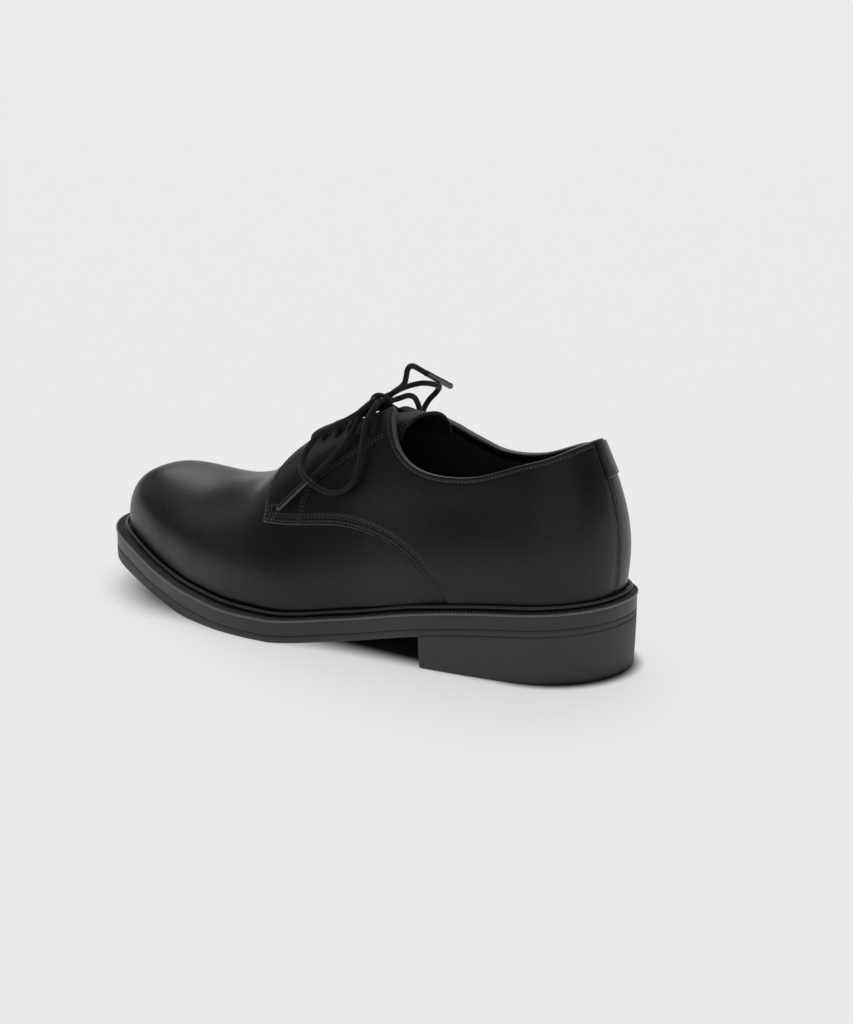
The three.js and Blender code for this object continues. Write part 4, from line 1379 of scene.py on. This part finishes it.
INNER_END = [
    [-1, -93.8, 113.1], [-5, -93.4, 114.3], [-8.6, -93.3, 115.2], [-11.4, -93.4, 117],
    [-12.6, -93.5, 119.6], [-13.8, -93.6, 122.4], [-16, -93.6, 123.6], [-19, -93.6, 123],
    [-23, -93.4, 120.9], [-28, -93.1, 118.1],
]
INNER_AGLET = [[-28.4, -93, 117.9], [-33, -92.5, 115.3], [-40, -91.9, 111.6], [-47, -91.3, 107.9]]
INNER_LOOP = [
    [-2.5, -96.6, 111], [-7, -96.9, 112], [-12, -96.2, 113], [-17, -94.2, 114],
    [-23, -91.4, 114.4], [-31, -89.9, 112.3], [-36.6, -91.4, 109.8], [-37.4, -93.8, 106.8],
    [-34.4, -95.8, 103.4], [-31, -96.2, 100], [-28.4, -95.4, 97.6], [-25.2, -93.6, 98],
    [-22, -92.4, 101.4], [-19, -91.6, 105.6], [-15.4, -91, 109], [-10.6, -91, 110.8],
    [-6, -91.7, 110.6], [-1.7, -93.2, 109.9],
]
KNOT_PLACE = (3.5, -96, 110.6)
print("points of the loops:", len(OUTER_LOOP), len(INNER_LOOP))


# %% Loops and ends of the bow
def metres(points):
    return (np.array(points, float) * MM).tolist()


def add_cord(name, points, node, with_pieces=()):
    ends = (1.0, 0.0) if with_pieces else (1.0, 1.0)
    piece, route, length = lace_tube(name, metres(points), ends=ends)
    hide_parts(node)
    print(name, "length in mm:", round(float(length) / MM, 1))


def add_aglet(name, start, points, node):
    piece, _, _ = lace_tube(name, metres([start, *points]), AGLET, False, film, (0.0, 0.7))
    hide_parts(node)
    return piece


aglets = [add_aglet("lace_tip_outer", OUTER_END[-1], OUTER_AGLET, "aglet_outer"),
          add_aglet("lace_tip_inner", INNER_END[-1], INNER_AGLET, "aglet_inner")]
add_cord("lace_loop_outer", OUTER_LOOP, "loop_outer")
add_cord("lace_loop_inner", INNER_LOOP, "loop_inner")
add_cord("lace_end_outer", OUTER_END, "end_outer", aglets[:1])
add_cord("lace_end_inner", INNER_END, "end_inner", aglets[1:])

# %% [markdown]
# The bars come up through one eyelet, cross the throat and go down through the other. From the
# two eyelets next to the collar a strand goes on to the knot. All of them start below the
# leather, so that they come out of the eyelets that the facings' solids have.

# %% Lace bars and the strands from the top eyelets
EYELET_ROWS = [0.44, 0.47, 0.499, 0.527, 0.553]
BELOW_LEATHER = -1.4 * MM
BAR_PLACES = (-0.93, -0.7, -0.35, 0, 0.35, 0.7, 0.93)
BAR_SAG = 0.6 * MM


def eyelet_across(share):
    return float(throat_at(share)) * THROAT_GAP / 2 + EYELET_INSET


def eyelet(share, side, lift):
    run = run_at(share)
    return on_last(run, turn_across(run, side * eyelet_across(share)), lift)


def bar_route(share):
    run = run_at(share)
    top = QUARTER_OUT + 0.3 * MM + LACE / 2
    points = [eyelet(share, -1, BELOW_LEATHER), eyelet(share, -1, QUARTER_OUT * 0.6)]
    for part in BAR_PLACES:
        lift = top - (0.7 * MM if abs(part) > 0.9 else 0.0)
        place = on_last(run, turn_across(run, part * eyelet_across(share) * 0.97), lift)
        points.append(place - [0, 0, BAR_SAG * (1 - part**2)])
    points += [eyelet(share, 1, QUARTER_OUT * 0.6), eyelet(share, 1, BELOW_LEATHER)]
    return np.array(points)


for number, share in enumerate(EYELET_ROWS[1:], start=1):
    piece, _, _ = lace_tube(f"lace_bar_{number}_braid", bar_route(share))
    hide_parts(f"lace_bar_{number}")


def strand_to_knot(side):
    start = [eyelet(EYELET_ROWS[0], side, lift) for lift in (BELOW_LEATHER, QUARTER_OUT * 0.7)]
    end = np.array(KNOT_PLACE) * MM + np.array([side * 3.5 * MM, 0, -2.2 * MM])
    out = eyelet(EYELET_ROWS[0], side, QUARTER_OUT + LACE * 0.75)
    middle = (out + end) / 2 + np.array([0, 0, 0.5 * MM])
    return np.array([*start, out, middle, end])


for side, name in ((1, "lace_strand_outer"), (-1, "lace_strand_inner")):
    piece, _, _ = lace_tube(name, strand_to_knot(side))

# %% [markdown]
# The knot is where a bow looks real or not. Each strand that enters it goes on through its
# middle and leaves it as another one, and one strand is wrapped around them all. A lump of the
# right size would do from afar, but here the crossings can be seen.

# %% Knot
WRAP_POINTS = 22


def inside_knot():
    """Routes through the knot in millimetres, which go on from the loops and the ends."""
    centre = np.array(KNOT_PLACE)
    through = {
        "knot_core": (OUTER_LOOP[0], [3.4, -1.6, 0.6], [-1.4, 0.4, 1.4], INNER_END[0]),
        "knot_cross": (OUTER_END[0], [2.6, -1.6, -2.2], [-2.2, -1.4, -0.8], INNER_LOOP[0]),
        "knot_back": (OUTER_LOOP[-1], [3.6, 2.6, 1.0], [-1.4, 2.6, -0.2], INNER_LOOP[-1]),
    }
    routes = {name: [start, centre + one, centre + two, end]
              for name, (start, one, two, end) in through.items()}
    under = ([4.6, -3.0, -3.4], [1.4, -3.2, -3.6], [-1.8, -1.6, -3.4], [-3.6, 0.2, -2.8])
    routes["knot_under"] = [centre + place for place in under]
    return routes


def around_knot():
    points = []
    for k in range(WRAP_POINTS):
        part = k / (WRAP_POINTS - 1)
        angle = 0.75 * math.pi + 2.55 * math.pi * part
        out = 1 + 0.1 * math.sin(math.pi * part)
        points.append(np.array(KNOT_PLACE) + [
            -1.9 + 3.6 * part + 0.9 * math.sin(angle), 4.1 * out * math.cos(angle),
            3.2 * out * math.sin(angle) - 0.9])
    return points


knot_pieces = [lace_tube(name, metres(points), ends=(0.0, 0.0))[0]
               for name, points in inside_knot().items()]
knot_pieces.insert(0, lace_tube("knot_wrap", metres(around_knot()))[0])
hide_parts("knot")

# %% [markdown]
# ## Stitches
#
# A row of stitches is a chain of small beads in a line on the leather. Each bead is a stretched
# ball, sunk by a third. An array modifier on a curve would place them too, but it bends them
# and needs an object for each row, so all the rows of a piece are written as one mesh.

# %% Stitch rows
STITCH_PITCH = 2.0 * MM
STITCH = (1.55 * MM, 0.6 * MM, 0.55 * MM)


def ball(rings=5, sides=8):
    theta = np.linspace(0, np.pi, rings + 1)[:, None]
    phi = np.linspace(0, 2 * np.pi, sides, endpoint=False)[None, :]
    y, z = np.sin(theta) * np.cos(phi), np.sin(theta) * np.sin(phi)
    points = np.stack([np.cos(theta) + 0 * phi, y, z], axis=-1)
    return points.reshape(-1, 3) / 2, grid_faces(rings + 1, sides, wrap_columns=True)


def stitch_row(points, normals):
    length = lengths_along(points)
    count = max(int(round(length[-1] / STITCH_PITCH)), 2)
    at = (np.arange(count) + 0.5) / count * length[-1]
    place = read_along(points, length, at)
    up = unit(read_along(normals, length, at))
    ahead = read_along(points, length, at + 0.3 * MM)
    tangent = unit(ahead - read_along(points, length, at - 0.3 * MM))
    side = unit(np.cross(up, tangent))
    shape, faces = ball()
    shape = shape * np.array(STITCH)
    beads = (place[:, None] + shape[None, :, :1] * tangent[:, None]
             + shape[None, :, 1:2] * side[:, None] + shape[None, :, 2:3] * up[:, None])
    offsets = np.arange(count)[:, None, None] * len(shape)
    return beads.reshape(-1, 3), (faces[None] + offsets).reshape(-1, 4)


def add_stitches(name, rows):
    points, faces, first = [], [], 0
    for line, normals in rows:
        made, made_faces = stitch_row(line, normals)
        points.append(made)
        faces.append(made_faces + first)
        first += len(made)
    return add_piece(name, np.concatenate(points), np.concatenate(faces), [sewing], weld=1e-7)


print("faces of one stitch:", len(ball()[1]))


# %% Seams and the bar tack at the facing's lower corner
BAR_TACK = [
    ((0.5737, 0.552), (0.5762, 0.665)), ((0.5690, 0.552), (0.5700, 0.665)),
    ((0.5600, 0.552), (0.5575, 0.662)), ((0.5735, 0.560), (0.5600, 0.556)),
    ((0.5762, 0.660), (0.5575, 0.657)),
]


def add_seams(side, name):
    lift = QUARTER_OUT - STITCH_DIP + STITCH[2] * 0.2
    rows = [(on_last(*line.T, lift), last_normals(*line.T)) for line in seams[side]]
    tack = []
    for start, end in BAR_TACK:
        share = np.linspace(start[0], end[0], 30)
        turn = np.linspace(start[1], end[1], 30)
        tack.append(np.stack([run_at(share), turn if side > 0 else np.pi - turn], axis=1))
    rows += [(on_last(*line.T, QUARTER_OUT + 0.05 * MM), last_normals(*line.T)) for line in tack]
    return add_stitches(name, rows)


stitches = [add_seams(1, "stitches_outer"), add_seams(-1, "stitches_inner"),
            add_stitches("stitches_tongue", [tongue_hem])]

# %% [markdown]
# ## Heel patch
#
# A small patch covers the top of the back seam on the inner side, where a tug at the collar
# would tear it. It is read from the last like the quarters, one layer further out, because a
# flat piece wrapped on by a modifier wouldn't end exactly at the collar.

# %% Heel patch
PATCH_WRAP = 0.8 * MM
PATCH_THICK = 0.9 * MM


def patch_sheet():
    patch_up = edge_up(PATCH_EDGE, BACK_HEIGHT)
    past_seam = np.linspace(0, 0.05, 200)
    across_seam = last_points(-past_seam, float(turn_under(0.0, patch_up, -1)))
    wrap = np.interp(PATCH_WRAP, lengths_along(across_seam), past_seam)
    run = np.linspace(-wrap, run_at(PATCH_EDGE["share"][-1]), 90)
    low = turn_under(np.abs(run), patch_up, -1)
    high = turn_under(np.abs(run), lambda share: collar_up[-1](share) - 0.7 * MM, -1)
    place = np.linspace(0, 1, 40)
    turn = low[:, None] + (high - low)[:, None] * place[None, :]
    wide = np.broadcast_to(run[:, None], turn.shape)
    return last_points(wide, turn), last_normals(wide, turn)


def add_patch():
    base, normal = patch_sheet()
    along = lengths_along(base)
    up = lengths_along(base.transpose(1, 0, 2)).T
    edge = np.minimum(np.minimum(along, along[-1:] - along), up)
    low, high = QUARTER_OUT + 0.02 * MM, QUARTER_OUT + PATCH_THICK
    outer = base + normal * (low + (high - low) * rounded(edge, 0.5 * MM))[..., None]
    inner = base + normal * low
    loops = np.concatenate([outer, inner[:, ::-1]], axis=1)
    return loft("heel_patch_leather", loops, [leather])


heel_patch = add_patch()
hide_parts("heel_patch")

# %% [markdown]
# ## Floor and light
#
# A black shoe is lit by what it mirrors. The floor is a light table that glows a little, so
# that shadows stay close to the sole. Below the sole a shadow is painted into the floor: there
# the glow goes dark and the paper's colour darker, or the heel would stand on light. The
# distance to a tapered capsule under the sole tells where this painted shadow lies.
# Far off, the paper bends up all around in a low bright band, which gives the leather a rim. A
# wide sun overhead lights the toe, one from behind the shoe draws the vamp and the edges, and
# two weak ones lift the quarter and the toe. Area lamps would show as hard white shapes.

# %% Floor
FLOOR_GLOW = 0.525
# Ends of the tapered capsule below the sole where the shadow is painted: x, y and radius.
HEEL_SHADOW_SPOT = (3 * MM, 1 * MM, 37 * MM)
TOE_SHADOW_SPOT = (-5 * MM, -190 * MM, 46 * MM)


def outside_painted_shadow(finish):
    """Mask of the shadow painted on the floor: 0 below the sole and 1 beside it."""
    part = [finish.node("ShaderNodeSeparateXYZ", {}, {0: finish.place}, output=k) for k in (0, 1)]
    along = finish.node("ShaderNodeMapRange", {}, {
        "Value": part[1], "From Min": HEEL_SHADOW_SPOT[1], "From Max": TOE_SHADOW_SPOT[1]})
    x = part[0] - (along * (TOE_SHADOW_SPOT[0] - HEEL_SHADOW_SPOT[0]) + HEEL_SHADOW_SPOT[0])
    y = part[1] - (along * (TOE_SHADOW_SPOT[1] - HEEL_SHADOW_SPOT[1]) + HEEL_SHADOW_SPOT[1])
    away = finish.node("ShaderNodeMath", {"operation": "SQRT"}, {0: x * x + y * y})
    away = away - (along * (TOE_SHADOW_SPOT[2] - HEEL_SHADOW_SPOT[2]) + HEEL_SHADOW_SPOT[2])
    return finish.node("ShaderNodeMapRange", {"interpolation_type": "SMOOTHSTEP"}, {
        "Value": away, "From Min": -2 * MM - along * (12 * MM), "From Max": along * (16 * MM) + 7 * MM})


def add_floor():
    """Pale paper that glows a little, with a shadow painted below the sole."""
    bpy.ops.mesh.primitive_plane_add(size=14.0, location=(0, 0, 0))
    floor = bpy.context.object
    floor.name = "floor"
    finish = Finish("floor_paper", IOR=1.3, Specular_IOR_Level=0.05, Emission_Strength=FLOOR_GLOW)
    beyond_painted_shadow = outside_painted_shadow(finish)
    # Painted shadow: below the sole the glow turns black and the paper's colour darker.
    glow = finish.between(beyond_painted_shadow, (0.0, 0.0, 0.0), (1.0, 1.0, 1.0))
    finish.feed(finish.shader.inputs["Emission Color"], glow)
    finish.color(finish.between(beyond_painted_shadow, (0.1, 0.1, 0.1), (0.5, 0.5, 0.5)))
    finish.rough(0.9 + finish.noise(3.0, 2.0) * 0.05)
    floor.data.materials.append(finish.material)


def add_backdrop(radius=4.5, height=0.32):
    """The paper bends up all around, far off: its glow gives the leather a bright rim."""
    angle = np.linspace(0, 2 * np.pi, 96, endpoint=False)
    ring = np.stack([radius * np.cos(angle), radius * np.sin(angle), 0 * angle], axis=1)
    points = np.stack([ring, ring + [0, 0, height]])
    mesh = bpy.data.meshes.new("backdrop")
    faces = grid_faces(2, len(angle), wrap_columns=True)
    mesh.from_pydata(points.reshape(-1, 3).tolist(), [], faces.tolist())
    finish = Finish("backdrop_paper", Emission_Strength=0.8)
    finish.shader.inputs["Emission Color"].default_value = (1.0, 1.0, 1.0, 1.0)
    mesh.materials.append(finish.material)
    backdrop = bpy.data.objects.new("backdrop", mesh)
    bpy.context.scene.collection.objects.link(backdrop)


add_floor()
add_backdrop()
print("glow of the floor:", FLOOR_GLOW)


# %% Suns and world
def add_sun(name, source, wide, strength):
    lamp = bpy.data.lights.new(name, "SUN")
    lamp.angle = math.radians(wide)
    lamp.energy = strength
    holder = bpy.data.objects.new(name, lamp)
    holder.rotation_euler = (-Vector(source)).to_track_quat("-Z", "Y").to_euler()
    bpy.context.scene.collection.objects.link(holder)


def add_world(strength):
    world = bpy.data.worlds.new("studio")
    world.use_nodes = True
    background = world.node_tree.nodes["Background"]
    background.inputs["Color"].default_value = (1.0, 1.0, 1.0, 1.0)
    background.inputs["Strength"].default_value = strength
    bpy.context.scene.world = world


add_world(0.09)
add_sun("overhead", (-0.1, -0.08, 1.0), 84, 1.05)
add_sun("window", (-0.75, -0.5, 0.78), 44, 0.7)
add_sun("side", (1.0, 0.75, 0.3), 70, 0.31)
add_sun("front", (-0.1, -1.0, 0.5), 24, 0.06)
bpy.context.scene.view_settings.view_transform = "Standard"
print("lamps:", [light.name for light in bpy.data.lights])
